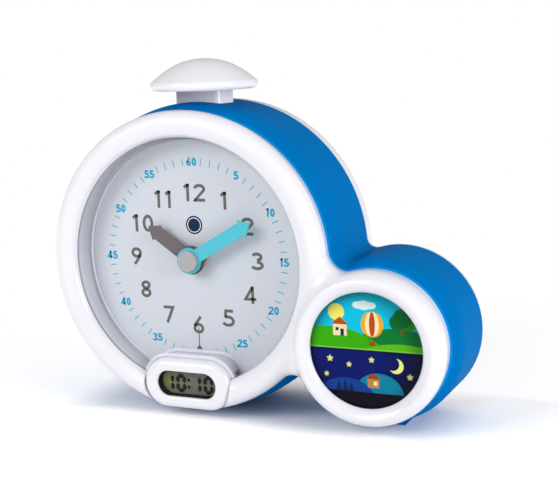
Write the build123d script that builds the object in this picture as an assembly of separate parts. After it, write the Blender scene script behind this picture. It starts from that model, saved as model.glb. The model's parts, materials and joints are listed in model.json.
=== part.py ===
from build123d import *
import os
from math import acos, asin, atan2, cos, degrees, hypot, pi, radians, sin, sqrt

# A free-standing child's alarm clock.  Two round lobes share one case: the large one holds the
# dial and its movement, the small one a picture lit from behind.  X runs right, Y back, Z up.
# Everything is modelled about the dial axis, with the dial's face on Y = 0, and is moved at the
# end so that the origin lies on the surface it stands on, under the middle of the whole clock.
# All sizes are in millimetres.

# Fits
FIT = 0.25              # between parts that are put together by hand
RUN = 0.3               # beside anything that moves
SHAFT_FIT = 0.05        # of a turning shaft or a screw in its bore
PRESS_FIT = 0.02        # of what is pushed onto a shaft
CLEAR = 1.0             # how far a cut runs on past what it cuts
AHEAD_Y = -30.0         # a depth in front of the whole clock, where cuts from the front start
PILOT_OVER = 1.0        # a blind hole is this much deeper than its screw
ROOT = 2.0              # how far bosses and pillars run into the wall that carries them

# Case outline
BIG_R = 78.0            # large lobe at the front joint
SMALL_R = 38.7          # small lobe at the front joint
LOBE_OVERLAP = 8.37     # the lobes' axes are this much closer than the sum of their radii
UPPER_FILLET = 9.5      # hollow between the lobes, above
LOWER_FILLET = 11.0     # hollow between the lobes, below
FLARE = 4.2             # growth of the outline over the shoulder behind the front joint
SHOULDER_DEPTH = 12.0   # from the front joint to the end of the shoulder
SHOULDER_STEPS = 3
FRONT_JOINT_Y = -3.3    # bezel meets housing
HOUSING_DEPTH = 44.9
BACK_JOINT_Y = FRONT_JOINT_Y + HOUSING_DEPTH
WALL = 2.4              # case wall
RIB = 1.6               # locating rib behind the bezel's and before the cover's joint
RIB_DEPTH = 3.0
RIB_OUT = WALL + FIT
RIB_IN = RIB_OUT + RIB
BEZEL_STEP = 0.4        # the bezel is this much smaller than the housing at their joint

# Feet
FOOT_LIFT = 1.0         # gap under the large lobe's back edge
SMALL_FOOT_LIFT = 1.9   # and under the small lobe's
FOOT_FRONT_Y = 8.0
FOOT_HALF = 13.8        # half width on the surface, large lobe
SMALL_FOOT_HALF = 11.1
FOOT_SLOPE = 0.85       # sideways growth per unit of height
FLOOR_Z = -(BIG_R + FLARE + FOOT_LIFT)
LOBE_DZ = FLOOR_Z + SMALL_FOOT_LIFT + SMALL_R + FLARE
LOBE_DX = sqrt((BIG_R + SMALL_R - LOBE_OVERLAP) ** 2 - LOBE_DZ**2)

# Bezel rings.  A section has its outer points given from the joint's edge, as growth and depth,
# and its inner ones from the opening's edge.
RING_WIDTH = 12.6
OPENING_R = BIG_R - RING_WIDTH
OPENING_Y = -12.8
BIG_OUTER = [(1.2, -7.4), (-0.4, -12.3)]
BIG_INNER = [(6.6, -5.1), (2.3, -3.5)]
PICTURE_RING = 9.4
PICTURE_R = SMALL_R - PICTURE_RING
PICTURE_Y = -17.9       # front of the clear disc over the picture
PICTURE_LIP = 0.6       # the ring's edge stands this far in front of the disc
SMALL_OUTER = [(0.5, -9.2), (-0.9, -16.0)]
SMALL_INNER = [(5.1, -3.8), (1.9, -2.3)]
RISE_FROM_JOINT = (0.12, -1)    # the sections' directions at both ends
FALL_TO_OPENING = (-0.35, 1)
WEB_FRONT_Y = -13.0     # front face of the web between the lobes
WEB_ROUND = 5.0
VALLEY_ROUND = 10.0     # where the two rings meet in front of the web
CAVITY_Y = -9.5         # roof of the hollow behind the bezel
GROOVE_Y = -15.2        # roof of the deeper hollow in the large ring

# Dial and lens
DIAL_T = 1.2
DIAL_WALL = 4.0         # wall of the bezel round the dial
DIAL_R = OPENING_R + 3.5
DIAL_SCREW_R = OPENING_R + 5.2
DIAL_SCREW_ANGLES = (20, 160, 240)
EAR_R = 2.9
LENS_T = 1.6
LENS_PROUD = 0.3        # the lens stands this far in front of the opening's edge
LENS_FLANGE = 1.9       # sideways reach of the lens's foot
LENS_FLANGE_T = 1.9

# Hands
HAND_T = 1.2
MINUTE_HAND_Y = -8.1
MINUTE_HAND_L = 41.9
MINUTE_BARB_AT = 36.1
HOUR_HAND_Y = -5.3
HOUR_HAND_L = 30.4
HOUR_BARB_AT = 24.2
BARB_HALF = 4.9
BLADE_HALF = 3.6
MINUTE_HUB_R = 6.9
HOUR_HUB_R = 7.7
CAP_R = 5.5
CAP_T = 2.1
CAP_ROUND = 0.4
HOURS, MINUTES = 10, 10  # the time shown at rest

# Pod for the small digital display, in front of the dial's foot
POD_HALF = 25.4
POD_END_R = 13.3
POD_Z = 0.6 - OPENING_R  # its middle lies on the opening's edge
POD_FRONT_Y = -17.8
POD_WALL = 2.0
POD_ROUND = 3.6
POD_GAP = 0.6           # between pod and lens
SKIRT_GAP = 3 * FIT     # between the pod's skirt and the lens
HOOK_W, HOOK_H, HOOK_T = 1.4, 6.0, 1.5  # snap hooks at the pod's ends
HOOK_Y = -12.0
HOOK_SINK = 1.0         # part of a hook's width that lies in the pod's wall
WINDOW_HALF = 17.4
WINDOW_END_R = 6.9
WINDOW_T = 1.0
WINDOW_ROUND = 1.0      # round edge of the hood's opening
WINDOW_REBATE = 1.4
WINDOW_SEAT_Y = POD_FRONT_Y + POD_WALL - 0.2
HOLDER_WALL = 1.2
HOLDER_DEPTH = 3.4      # from the window back to the display
PANEL_T = 2.0
PANEL_HALF, PANEL_H = 18.6, 16.2
PANEL_Y = WINDOW_SEAT_Y + WINDOW_T + HOLDER_DEPTH
BOARD_T = 1.6           # circuit boards
LCD_BOARD_Y = PANEL_Y + PANEL_T
LCD_BOARD_W, LCD_BOARD_H = 44.0, 10.0
STAKE_R = 0.8           # rivets moulded on the pod, through the board
STAKE_POST_R = 1.5
STAKE_INSET = 1.6
STAKE_HEAD = 0.6
POD_BACK_Y = LCD_BOARD_Y + BOARD_T + STAKE_HEAD + RUN

# Screws.  The large ones close the case, the small ones hold everything else.
SCREW_R = 1.4
SCREW_HEAD_R = 2.8
SCREW_HEAD_T = 2.0
SCREW_L = 16.0
SMALL_LOBE_SCREW_L = 14.0
SMALL_SCREW_R = 0.9
SMALL_HEAD_R = 1.9
SMALL_HEAD_T = 1.3
SMALL_SCREW_L = 6.0
LED_SCREW_L = 4.5
SNOOZE_SCREW_L = 8.0
RETAINER_SCREW_L = 7.0
BOARD_SCREW_L = 6.5
DOOR_SCREW_L = 7.0      # below the lid

# Pillars that the case screws enter, as angles on each lobe
PILLAR_R = 2.9
PILLAR_GAP = 0.5        # from the case's wall to a pillar
PILLAR_CIRCLE = BIG_R - WALL - PILLAR_GAP - PILLAR_R
PILLAR_ANGLES = (45, 135, 205, 315)
SMALL_PILLAR_R = 2.6
SMALL_PILLAR_GAP = 0.1
SMALL_PILLAR_CIRCLE = SMALL_R - WALL - SMALL_PILLAR_GAP - SMALL_PILLAR_R
SMALL_PILLAR_ANGLES = (50, -50)
PILLAR_END_Y = BACK_JOINT_Y - 1.4

# Rear cover
COVER_T = 2.2
COVER_ROUND = 1.4
DRUM_DEPTH = 9.4        # how far the cover stands behind the joint on the large lobe
SMALL_COVER_DEPTH = 3.0  # and on the small lobe
DRUM_ROUND = 3.5
DRUM_INSET = 1.6        # the drum's side wall is this much thicker than its back
COVER_BOSS_R = 4.2
DRUM_BACK_Y = BACK_JOINT_Y + DRUM_DEPTH
DRUM_INNER_Y = DRUM_BACK_Y - COVER_T
SMALL_BACK_Y = BACK_JOINT_Y + SMALL_COVER_DEPTH
SMALL_INNER_Y = SMALL_BACK_Y - COVER_T
SEAT_Y = BACK_JOINT_Y + 2.8     # seats of the screws' heads
SMALL_SEAT_Y = BACK_JOINT_Y + 0.8

# Night light
LIGHT_LENS_T = 1.5
SHEET_T = 0.4
LIGHT_R = PICTURE_R + 1.3
LIGHT_BOX_WALL = 1.8
LIGHT_BOX_BACK_Y = 3.6
DIVIDER_T = 1.2         # wall between the two lit halves
LIGHT_SCREW_R = LIGHT_R + 3.0
LIGHT_SCREW_ANGLES = (105, 255)
LIGHT_BOSS_R = 2.4
LIGHT_EAR_R, LIGHT_EAR_L, LIGHT_EAR_T = 2.3, 5.0, 2.0
LIGHT_EAR_Y = 0.1
LED_R = 2.5
LED_COLLAR_R = 2.9
LED_L = 6.0             # from the board to the start of the dome
LED_HOLE_FIT = 0.6
LED_OFFSET = 12.0
LED_BOARD_R = 24.0
LED_SCREW_INSET = 6.0
LED_BOSS_R = 1.8
LED_BOSS_L = 5.0

# Snooze button
BUTTON_Y = 18.5
DOME_R = 28.7
DOME_RIM_Z = BIG_R + 10.4
DOME_H = 16.3
DOME_TOP_Z = DOME_RIM_Z + DOME_H
DOME_SHOULDER = (15.5, 3.3)     # a point on the dome, as radius and depth below its top
DOME_WALL = 2.2
DOME_LIP = 2.9          # radius of the round lip
LIP_START, LIP_END = 50, -60    # from the dome, over the widest point, to the lip's underside
LIP_WALL = 1.2          # the dome is this much thicker at its lip
STEM_W, STEM_D = 27.0, 19.0     # sides of the stem
STEM_ROUND = 3.5
STEM_WALL = 2.0
STEM_SINK = 4.2         # the stem ends this far below the dome's top
SLEEVE_WALL = 1.8
SLEEVE_BOTTOM_Z = BIG_R - 11.7
SNOOZE_TRAVEL = 2.5
LUG_W, LUG_D, LUG_H = 4.4, 5.0, 8.0     # what the retainer's screws enter, inside the stem
LUG_X = STEM_W / 2 - STEM_WALL - 1.0
RETAINER_LEDGE = 1.7    # reach of the retainer past the stem
RETAINER_T = 2.0
RETAINER_Z = SLEEVE_BOTTOM_Z - RUN
NOSE_R = 2.5            # nose of the retainer, over the switch
SNOOZE_BOARD_Z = SLEEVE_BOTTOM_Z - 16.3     # top of the small board under the button
SNOOZE_BOARD_D = 14.0
LEG_W, LEG_D = 4.8, 9.6  # the housing's legs, which carry that board
LEG_X = STEM_W / 2 + RUN + SLEEVE_WALL + LEG_W / 2
SPRING_R = 6.4
SPRING_WIRE = 0.45
SPRING_TURNS = 5
SPRING_GAP = 0.05
TACT = 6.0              # side of a push switch
TACT_H = 3.5
TACT_TIP_R = 1.7
TACT_TIP_H = 0.9

# Clock movement
MOVE_SIZE = 56.0
MOVE_WALL = 1.5
MOVE_CORNER = 2.0
MOVE_SPLIT_Y = 8.2
MOVE_BACK_Y = 16.2
MOVE_INNER_Y = MOVE_BACK_Y - MOVE_WALL
BEARING_WALL = 1.5
BEARING_L = 4.0
BUSH_R = 4.0
BUSH_FRONT_Y = -3.4
NUT_FLATS = 12.0
NUT_T = 1.8
SHAFT_R = 1.5           # minute shaft
SHAFT_TIP_Y = -9.3
SHAFT_END_GAP = 0.1
HOUR_TUBE_R = 2.6
HOUR_TUBE_FRONT_Y = HOUR_HAND_Y - 0.4
ARBOR_R = 0.9           # fixed pin of the minute wheel
SET_SHAFT_R = 1.6

# Gears of the motion work
GEAR_MODULE = 0.7
CANNON_TEETH, MINUTE_TEETH = 10, 30
PINION_TEETH, HOUR_TEETH = 8, 32
GEAR_BACKLASH = 0.14
PRESSURE_ANGLE = 20.0
WHEEL_ADDENDUM = 0.55   # in modules, short so that low pinions are cleared
PINION_ADDENDUM = 0.9
DEDENDUM = 1.15
HOUR_WHEEL_Y = 3.0
WHEEL_T = 1.0
CANNON_Y = 4.6
CANNON_T = 1.6
MINUTE_WHEEL_Y = CANNON_Y + (CANNON_T - WHEEL_T) / 2
MINUTE_PINION_Y = HOUR_WHEEL_Y - 0.2
MINUTE_WHEEL_ANGLE = 210
SET_WHEEL_ANGLE = 100

# Motor coil and board inside the movement
COIL_R, COIL_L = 3.0, 18.0
COIL_X = 16.0
BOBBIN_W, BOBBIN_D, BOBBIN_T = 6.4, 6.2, 1.0
MOVE_BOARD_W, MOVE_BOARD_H, MOVE_BOARD_T = 24.0, 12.0, 1.2
MOVE_BOARD_X, MOVE_BOARD_Z = 12.0, -19.0
MOVE_CHIP, MOVE_CHIP_T = 5.0, 1.4

# Setting knob
KNOB_R = 8.0
KNOB_FRONT_Y = DRUM_BACK_Y + 0.6
KNOB_T = 6.4
KNOB_BACK_Y = KNOB_FRONT_Y + KNOB_T
KNOB_NECK_R = 3.0
KNOB_NECK_Y = DRUM_INNER_Y - 1.5
KNOB_GRIPS = 24
GRIP_R = 1.1
GRIP_OUT = 0.5          # the grips' centres lie this far outside the rim
STEM_COVER_T = 2.0      # how much of the knob closes over its stem

# Rear controls on the large lobe
CONTROL_BOARD_Y = DRUM_BACK_Y - 13.0
CONTROL_BOARD_BACK_Y = CONTROL_BOARD_Y + BOARD_T
CONTROL_BOARD_W, CONTROL_BOARD_H = 84.0, 30.0
CONTROL_BOARD_Z = 36.0
BOARD_SCREW_INSET = 3.5
BOARD_POST_R = 2.6
CHIP, CHIP_T, CHIP_X = 12.0, 1.6, 12.0
BUTTON_ROW_Z = 43.0
BUTTON_XS = (-30.0, -10.0, 10.0, 30.0)
BUTTON_NAMES = ("hour_button", "minute_button", "alarm_button", "light_button")
PUSH_R = 4.3
PUSH_FLANGE = 1.1
PUSH_FLANGE_T = 1.5
PUSH_PROUD = 1.2
PUSH_ROUND = 0.6
PUSH_TRAVEL = 0.8
SWITCH_X, SWITCH_Z = -20.0, 28.0
SWITCH_TRAVEL = 4.0
SWITCH_KNOB_W, SWITCH_KNOB_H = 5.0, 3.0
SWITCH_PROUD = 1.4
SWITCH_FLANGE_T = 1.0
SWITCH_FLANGE = 2.5     # its reach past the slot at each end
SWITCH_BODY_W, SWITCH_BODY_H, SWITCH_BODY_T = 13.0, 6.5, 5.0
JACK_X, JACK_Z = 20.0, 28.0
JACK_W, JACK_H = 9.0, 10.0
JACK_R = 2.8
JACK_DEPTH = 8.5
JACK_RIM = 0.6          # the cover's hole is this much wider than the inlet
JACK_GAP = 0.2
JACK_PIN_R = 1.0
JACK_PIN_SHORT = 0.8    # the pin ends this far inside

# Battery bay: three AA cells side by side under a lid
CELL_R, CELL_L = 7.1, 50.5
CELL_GAP = 1.0
CELL_PITCH = 2 * CELL_R + CELL_GAP
CELL_NUB_R, CELL_NUB_L = 2.6, 1.9
CELL_BODY_L = 49.1
CELLS = (1, 2, 3)
BAY_W = CELL_L + 7.5    # with room for the contacts
BAY_H = len(CELLS) * CELL_PITCH + 2 * RUN
DOOR_W, DOOR_H, DOOR_T = BAY_W + 8.0, BAY_H + 7.8, 1.8
DOOR_ROUND = 4.0
DOOR_MARGIN = 7.4       # from the lid's lower corners to the drum's side
DOOR_SCREW_Z = BAY_H / 2 + 1.8  # from the bay's middle
DOOR_BOSS_R = 2.4
DOOR_SEAT_Y = DRUM_BACK_Y - DOOR_T
BAY_FLOOR_Y = DOOR_SEAT_Y - 2 * CELL_R - 1.6
BAY_Z = DOOR_H / 2 - sqrt((BIG_R + FLARE - DOOR_MARGIN) ** 2 - (DOOR_W / 2) ** 2)
GRIP_SLOTS = 5
GRIP_SLOT_W, GRIP_SLOT_H, GRIP_SLOT_DEPTH = 16.0, 1.0, 0.5
GRIP_SLOT_PITCH = 2.4
CONTACT_SIZE, CONTACT_T = 11.0, 0.5
CONTACT_GAP = 0.1
DIMPLE_R = 2.2
CELL_SPRING_R = 3.0
CELL_SPRING_WIRE = 0.35
CELL_SPRING_TURNS = 3

# Speaker behind the small lobe
SPEAKER_R = 20.0
SPEAKER_FRONT_Y = BACK_JOINT_Y - 10.6   # flange, clamped to the cover's posts
SPEAKER_FLANGE = 5.8
SPEAKER_FLANGE_T = 1.0
SPEAKER_SCREW_R = SPEAKER_R + 3.2
SPEAKER_SCREW_ANGLES = (90, 210, 330)
BASKET_DEPTH = 6.5
BASKET_R = 11.0         # basket where it meets the magnet
BASKET_BORE_R = 7.0
BASKET_T = 0.8
MAGNET_R, MAGNET_T = 10.0, 4.5
CONE_LIFT = 1.4         # cone's edge behind the flange
CONE_DEPTH = 5.0
CONE_T = 0.6
DUST_CAP_R = 6.0
SURROUND = 3.4          # width of the cone's rolled edge
SURROUND_T = 0.4
GRILLE_RINGS = 3
GRILLE_PITCH = 5.0
GRILLE_HOLE_R = 1.5


def plane_at(y):
    """The upright plane at depth y, drawn as X right and Z up."""
    return Plane.XZ.offset(-y)


def prism(sketch, y0, y1):
    """A sketch in X and Z, carried from depth y0 back to y1."""
    return extrude(plane_at(y1) * sketch, amount=y1 - y0)


def disc(radius, y0, y1, x=0.0, z=0.0):
    """A round plate, post or bore that runs from depth y0 back to y1."""
    return prism(Pos(x, z) * Circle(radius), y0, y1)


def ring(outer, inner, y0, y1, x=0.0, z=0.0):
    """A round wall between two radii."""
    return prism(Pos(x, z) * (Circle(outer) - Circle(inner)), y0, y1)


def slab(width, height, y0, y1, x=0.0, z=0.0, corner=0.0):
    """An upright board or block, centred on x and z."""
    face = RectangleRounded(width, height, corner) if corner else Rectangle(width, height)
    return prism(Pos(x, z) * face, y0, y1)


def post(sketch, z0, z1, x=0.0, y=0.0):
    """A sketch in X and Y, carried up from z0 to z1."""
    return extrude(Pos(x, y, z0) * sketch, amount=z1 - z0)


def polar(radius, angle, x=0.0, z=0.0):
    """The point at a radius and an angle in degrees about a centre."""
    return (x + radius * cos(radians(angle)), z + radius * sin(radians(angle)))


def bearing(start, end):
    """Angle in degrees of the way from one point to another."""
    return degrees(atan2(end[1] - start[1], end[0] - start[0]))


def short_way(start, end):
    """The end angle that is reached from start by the shorter way round."""
    return start + (end - start + 180) % 360 - 180


def arc(centre, radius, start, end):
    """An arc about a centre, between two angles in degrees."""
    points = [polar(radius, a, *centre) for a in (start, (start + end) / 2, end)]
    return ThreePointArc(*points)


def screw(x, z, seat_y, length):
    """A pan head screw of the case, driven from behind; its head rests on seat_y."""
    head = disc(SCREW_HEAD_R, seat_y, seat_y + SCREW_HEAD_T, x, z)
    return head + disc(SCREW_R, seat_y - length, seat_y, x, z)


def small_screw(x, z, seat_y, length, back=True):
    """A small screw whose head rests on seat_y; back puts the head behind the seat."""
    way = 1 if back else -1
    head = sorted((seat_y, seat_y + way * SMALL_HEAD_T))
    shank = sorted((seat_y, seat_y - way * length))
    return disc(SMALL_HEAD_R, *head, x, z) + disc(SMALL_SCREW_R, *shank, x, z)


def upright_screw(x, y, seat_z, length):
    """A small screw driven upwards; its head is below the seat."""
    head = post(Circle(SMALL_HEAD_R), seat_z - SMALL_HEAD_T, seat_z, x, y)
    return head + post(Circle(SMALL_SCREW_R), seat_z, seat_z + length, x, y)


def pilot(x, z, y0, y1):
    """The hole that a small screw bites into."""
    return disc(SMALL_SCREW_R + SHAFT_FIT, y0, y1, x, z)


# ---- places ----


def dial_screw_places():
    return [polar(DIAL_SCREW_R, a) for a in DIAL_SCREW_ANGLES]


def big_pillar_places():
    return [polar(PILLAR_CIRCLE, a) for a in PILLAR_ANGLES]


def small_pillar_places():
    return [polar(SMALL_PILLAR_CIRCLE, a, LOBE_DX, LOBE_DZ) for a in SMALL_PILLAR_ANGLES]


def light_screw_places():
    return [polar(LIGHT_SCREW_R, a, LOBE_DX, LOBE_DZ) for a in LIGHT_SCREW_ANGLES]


def led_screw_places():
    reach = LED_BOARD_R - LED_SCREW_INSET
    return [(LOBE_DX - reach, LOBE_DZ), (LOBE_DX + reach, LOBE_DZ)]


def stake_places():
    reach = LCD_BOARD_W / 2 - STAKE_INSET
    return [(-reach, POD_Z), (reach, POD_Z)]


def door_screw_zs():
    return [BAY_Z - DOOR_SCREW_Z, BAY_Z + DOOR_SCREW_Z]


def board_screw_places():
    dx = CONTROL_BOARD_W / 2 - BOARD_SCREW_INSET
    dz = CONTROL_BOARD_H / 2 - BOARD_SCREW_INSET
    return [(x, CONTROL_BOARD_Z + z) for x in (-dx, dx) for z in (-dz, dz)]


def speaker_screw_places():
    return [polar(SPEAKER_SCREW_R, a, LOBE_DX, LOBE_DZ) for a in SPEAKER_SCREW_ANGLES]


def grille_places():
    """One hole in the middle and rings of six, twelve and so on round it."""
    places = [(LOBE_DX, LOBE_DZ)]
    for n in range(1, GRILLE_RINGS + 1):
        for k in range(6 * n):
            places.append(polar(n * GRILLE_PITCH, 60 * k / n, LOBE_DX, LOBE_DZ))
    return places


def gear_centre_distance():
    return GEAR_MODULE * (CANNON_TEETH + MINUTE_TEETH) / 2


def minute_wheel_place():
    return polar(gear_centre_distance(), MINUTE_WHEEL_ANGLE)


def set_wheel_place():
    return polar(gear_centre_distance(), SET_WHEEL_ANGLE, *minute_wheel_place())


def cell_centre(n):
    """The middle of cell n; the cells lie one above another, in the middle of the bay."""
    middle = (CELLS[0] + CELLS[-1]) / 2
    return (0.0, BAY_FLOOR_Y + RUN + CELL_R + SHAFT_FIT, BAY_Z + (n - middle) * CELL_PITCH)


def cell_way(n):
    """1 when cell n points right, -1 when it points left; neighbours lie head to tail."""
    return 1 if n % 2 else -1


# ---- case ----


def hollow_centre(radius, side):
    """Centre of the arc of this radius that touches both lobes; side is 1 above, -1 below."""
    span = hypot(LOBE_DX, LOBE_DZ)
    to_big = BIG_R + radius
    to_small = SMALL_R + radius
    along = (to_big**2 - to_small**2 + span**2) / (2 * span)
    across = side * sqrt(to_big**2 - along**2)
    ux, uz = LOBE_DX / span, LOBE_DZ / span
    return (along * ux - across * uz, along * uz + across * ux)


def hollow_arc(centre, radius, big, small):
    """The arc of a hollow between the lobes, on its side towards them."""
    start = bearing(centre, big)
    return arc(centre, radius, start, short_way(start, bearing(centre, small)))


def case_outline(grow=0.0):
    """Both lobes and the hollows between them, grown outwards by a distance."""
    big, small = (0.0, 0.0), (LOBE_DX, LOBE_DZ)
    upper, lower = hollow_centre(UPPER_FILLET, 1), hollow_centre(LOWER_FILLET, -1)
    return make_face(
        [
            arc(big, BIG_R + grow, bearing(big, upper), bearing(big, lower) + 360),
            hollow_arc(lower, LOWER_FILLET - grow, big, small),
            arc(small, SMALL_R + grow, bearing(small, lower), bearing(small, upper)),
            hollow_arc(upper, UPPER_FILLET - grow, big, small),
        ]
    )


def flare_at(y):
    """How far the case has grown at depth y: over its round shoulder, and no further behind it."""
    left = max(0.0, 1 - (y - FRONT_JOINT_Y) / SHOULDER_DEPTH)
    return FLARE * (1 - left**2)


def case_body(grow=0.0):
    """The housing's outer form between its joints, grown outwards by a distance."""
    step = SHOULDER_DEPTH / SHOULDER_STEPS
    depths = [FRONT_JOINT_Y + n * step for n in range(SHOULDER_STEPS + 1)]
    shoulder = loft([plane_at(y) * case_outline(grow + flare_at(y)) for y in depths])
    return shoulder + prism(case_outline(grow + FLARE), depths[-1], BACK_JOINT_Y)


def rib(grow, y0, y1):
    """The locating rib that runs round inside the case's wall."""
    return prism(case_outline(grow - RIB_OUT), y0, y1) - prism(case_outline(grow - RIB_IN), y0, y1)


def foot(x, half, lobe_z, lobe_r):
    """A foot: flat below, wider where it meets its lobe."""
    top_z = lobe_z - lobe_r * cos(asin(1.3 * half / lobe_r))
    reach = half + FOOT_SLOPE * (top_z - FLOOR_Z)
    corners = [(x - half, FLOOR_Z), (x + half, FLOOR_Z), (x + reach, top_z), (x - reach, top_z)]
    return prism(make_face(Polyline(*corners, close=True)), FOOT_FRONT_Y, BACK_JOINT_Y)


def stem_block(grow, z0, z1):
    """A block with the outline of the snooze button's stem, grown outwards by a distance."""
    face = RectangleRounded(STEM_W + 2 * grow, STEM_D + 2 * grow, STEM_ROUND + grow)
    return post(face, z0, z1, y=BUTTON_Y)


def main_housing():
    """The coloured sleeve of the case: wall, feet, and the snooze button's guide and two legs."""
    top_z = BIG_R + FLARE
    body = case_body()
    inner = stem_block(RUN + SLEEVE_WALL, SLEEVE_BOTTOM_Z, top_z)
    for x in (-LEG_X, LEG_X):
        inner += post(Rectangle(LEG_W, LEG_D), SNOOZE_BOARD_Z, top_z, x, BUTTON_Y)
    feet = foot(0, FOOT_HALF, 0, BIG_R) + foot(LOBE_DX, SMALL_FOOT_HALF, LOBE_DZ, SMALL_R)
    shell = body + feet - case_body(-WALL) + (inner & body)
    shell -= stem_block(RUN, SLEEVE_BOTTOM_Z - CLEAR, top_z + CLEAR)
    hole = Circle(SMALL_SCREW_R + SHAFT_FIT)
    for x in (-LEG_X, LEG_X):
        shell -= post(hole, SNOOZE_BOARD_Z - CLEAR, SNOOZE_BOARD_Z + SNOOZE_SCREW_L, x, BUTTON_Y)
    return shell


def bezel_ring(joint_r, outer, opening_r, opening_y, inner):
    """One lobe's ring: a rounded section from the joint, over its crest, to the opening."""
    joint, opening = (joint_r - BEZEL_STEP, FRONT_JOINT_Y), (opening_r, opening_y)
    crest = [(joint_r + r, FRONT_JOINT_Y + y) for r, y in outer]
    crest += [(opening_r + r, opening_y + y) for r, y in inner]
    over = Spline(joint, *crest, opening, tangents=[RISE_FROM_JOINT, FALL_TO_OPENING])
    corner = (opening_r, FRONT_JOINT_Y)
    return revolve(make_face([over, Line(opening, corner), Line(corner, joint)]), Axis.Y)


def bezel_web():
    """The plate that joins the two rings, rounded along its front edge."""
    plate = prism(case_outline(-BEZEL_STEP), WEB_FRONT_Y, FRONT_JOINT_Y)
    front = plate.faces().sort_by(Axis.Y)[0]
    return fillet(front.edges(), WEB_ROUND)


def bezel_front():
    """The rings and the web as one solid, rounded where the rings meet."""
    small = bezel_ring(SMALL_R, SMALL_OUTER, PICTURE_R, PICTURE_Y - PICTURE_LIP, SMALL_INNER)
    solid = bezel_web() + bezel_ring(BIG_R, BIG_OUTER, OPENING_R, OPENING_Y, BIG_INNER)
    solid += Pos(LOBE_DX, 0, LOBE_DZ) * small
    curves = solid.edges().filter_by(GeomType.BSPLINE)
    ahead = curves.filter_by(lambda e: e.bounding_box().min.Y < WEB_FRONT_Y - PRESS_FIT)
    return fillet(ahead.sort_by(SortBy.LENGTH)[-1], VALLEY_ROUND)


def bezel_shell():
    """The bezel's front, hollow from behind, with the wall round the dial and a rib."""
    solid = bezel_front()
    dial_wall = OPENING_R + DIAL_WALL
    light_wall = LIGHT_R + FIT + LIGHT_BOX_WALL
    hollow = prism(case_outline(-RIB_IN), CAVITY_Y, FRONT_JOINT_Y)
    hollow += ring(BIG_R - RIB_IN, dial_wall, GROOVE_Y, CAVITY_Y)
    keep = disc(dial_wall, CAVITY_Y, FRONT_JOINT_Y)
    keep += disc(light_wall, GROOVE_Y, FRONT_JOINT_Y, LOBE_DX, LOBE_DZ)
    solid -= hollow - keep
    solid += ring(dial_wall, OPENING_R, FRONT_JOINT_Y, 0)
    return solid + rib(0, FRONT_JOINT_Y, FRONT_JOINT_Y + RIB_DEPTH)


def bezel_openings():
    """What is cut out of the bezel for the dial, its lens, the night light and the pod."""
    below = Pos(0, POD_Z - POD_END_R) * Rectangle(2 * (POD_HALF - POD_END_R), 2 * POD_END_R)
    hook_w, hook_h = 2 * (HOOK_W + FIT), HOOK_H + 2 * FIT
    return [
        disc(OPENING_R, AHEAD_Y, CLEAR),
        disc(OPENING_R + LENS_FLANGE + FIT, -LENS_FLANGE_T - FIT, CLEAR),
        disc(PICTURE_R, AHEAD_Y, CLEAR, LOBE_DX, LOBE_DZ),
        disc(LIGHT_R + FIT, PICTURE_Y, CLEAR, LOBE_DX, LOBE_DZ),
        prism(stadium(FIT) + below, AHEAD_Y, POD_BACK_Y),
        slab(hook_w, hook_h, HOOK_Y, POD_BACK_Y, -POD_HALF, POD_Z),
        slab(hook_w, hook_h, HOOK_Y, POD_BACK_Y, POD_HALF, POD_Z),
    ]


def front_bezel():
    """The white front moulding: two rings, their web, a locating rib, bosses and pillars."""
    solid = bezel_shell()
    for x, z in dial_screw_places():
        solid += disc(EAR_R, GROOVE_Y, 0, x, z)
    for x, z in light_screw_places():
        solid += disc(LIGHT_BOSS_R, CAVITY_Y - ROOT, 0, x, z)
    for x, z in big_pillar_places():
        solid += disc(PILLAR_R, GROOVE_Y, PILLAR_END_Y, x, z)
    for x, z in small_pillar_places():
        solid += disc(SMALL_PILLAR_R, CAVITY_Y - ROOT, PILLAR_END_Y, x, z)
    for opening in bezel_openings():
        solid -= opening
    for x, z in dial_screw_places() + light_screw_places():
        solid -= pilot(x, z, -SMALL_SCREW_L - PILOT_OVER, CLEAR)
    for x, z in big_pillar_places():
        solid -= disc(SCREW_R + SHAFT_FIT, SEAT_Y - SCREW_L - PILOT_OVER, PILLAR_END_Y + CLEAR, x, z)
    hole_front = SMALL_SEAT_Y - SMALL_LOBE_SCREW_L - PILOT_OVER
    for x, z in small_pillar_places():
        solid -= disc(SCREW_R + SHAFT_FIT, hole_front, PILLAR_END_Y + CLEAR, x, z)
    return solid


def cover_shell():
    """The cover's walls: shallow over the small lobe, a deeper drum behind the large one."""
    drum_r = BIG_R + FLARE
    plate = prism(case_outline(FLARE), BACK_JOINT_Y, SMALL_BACK_Y)
    plate = fillet(plate.faces().sort_by(Axis.Y)[-1].edges(), COVER_ROUND)
    drum = disc(drum_r, BACK_JOINT_Y, DRUM_BACK_Y)
    drum = fillet(drum.faces().sort_by(Axis.Y)[-1].edges(), DRUM_ROUND)
    hollow = prism(case_outline(FLARE - RIB_IN), BACK_JOINT_Y, SMALL_INNER_Y)
    hollow += disc(drum_r - COVER_T - DRUM_INSET, BACK_JOINT_Y, DRUM_INNER_Y)
    rib_front = BACK_JOINT_Y - RIB_DEPTH
    return plate + drum - hollow + rib(flare_at(rib_front), rib_front, BACK_JOINT_Y)


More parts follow.
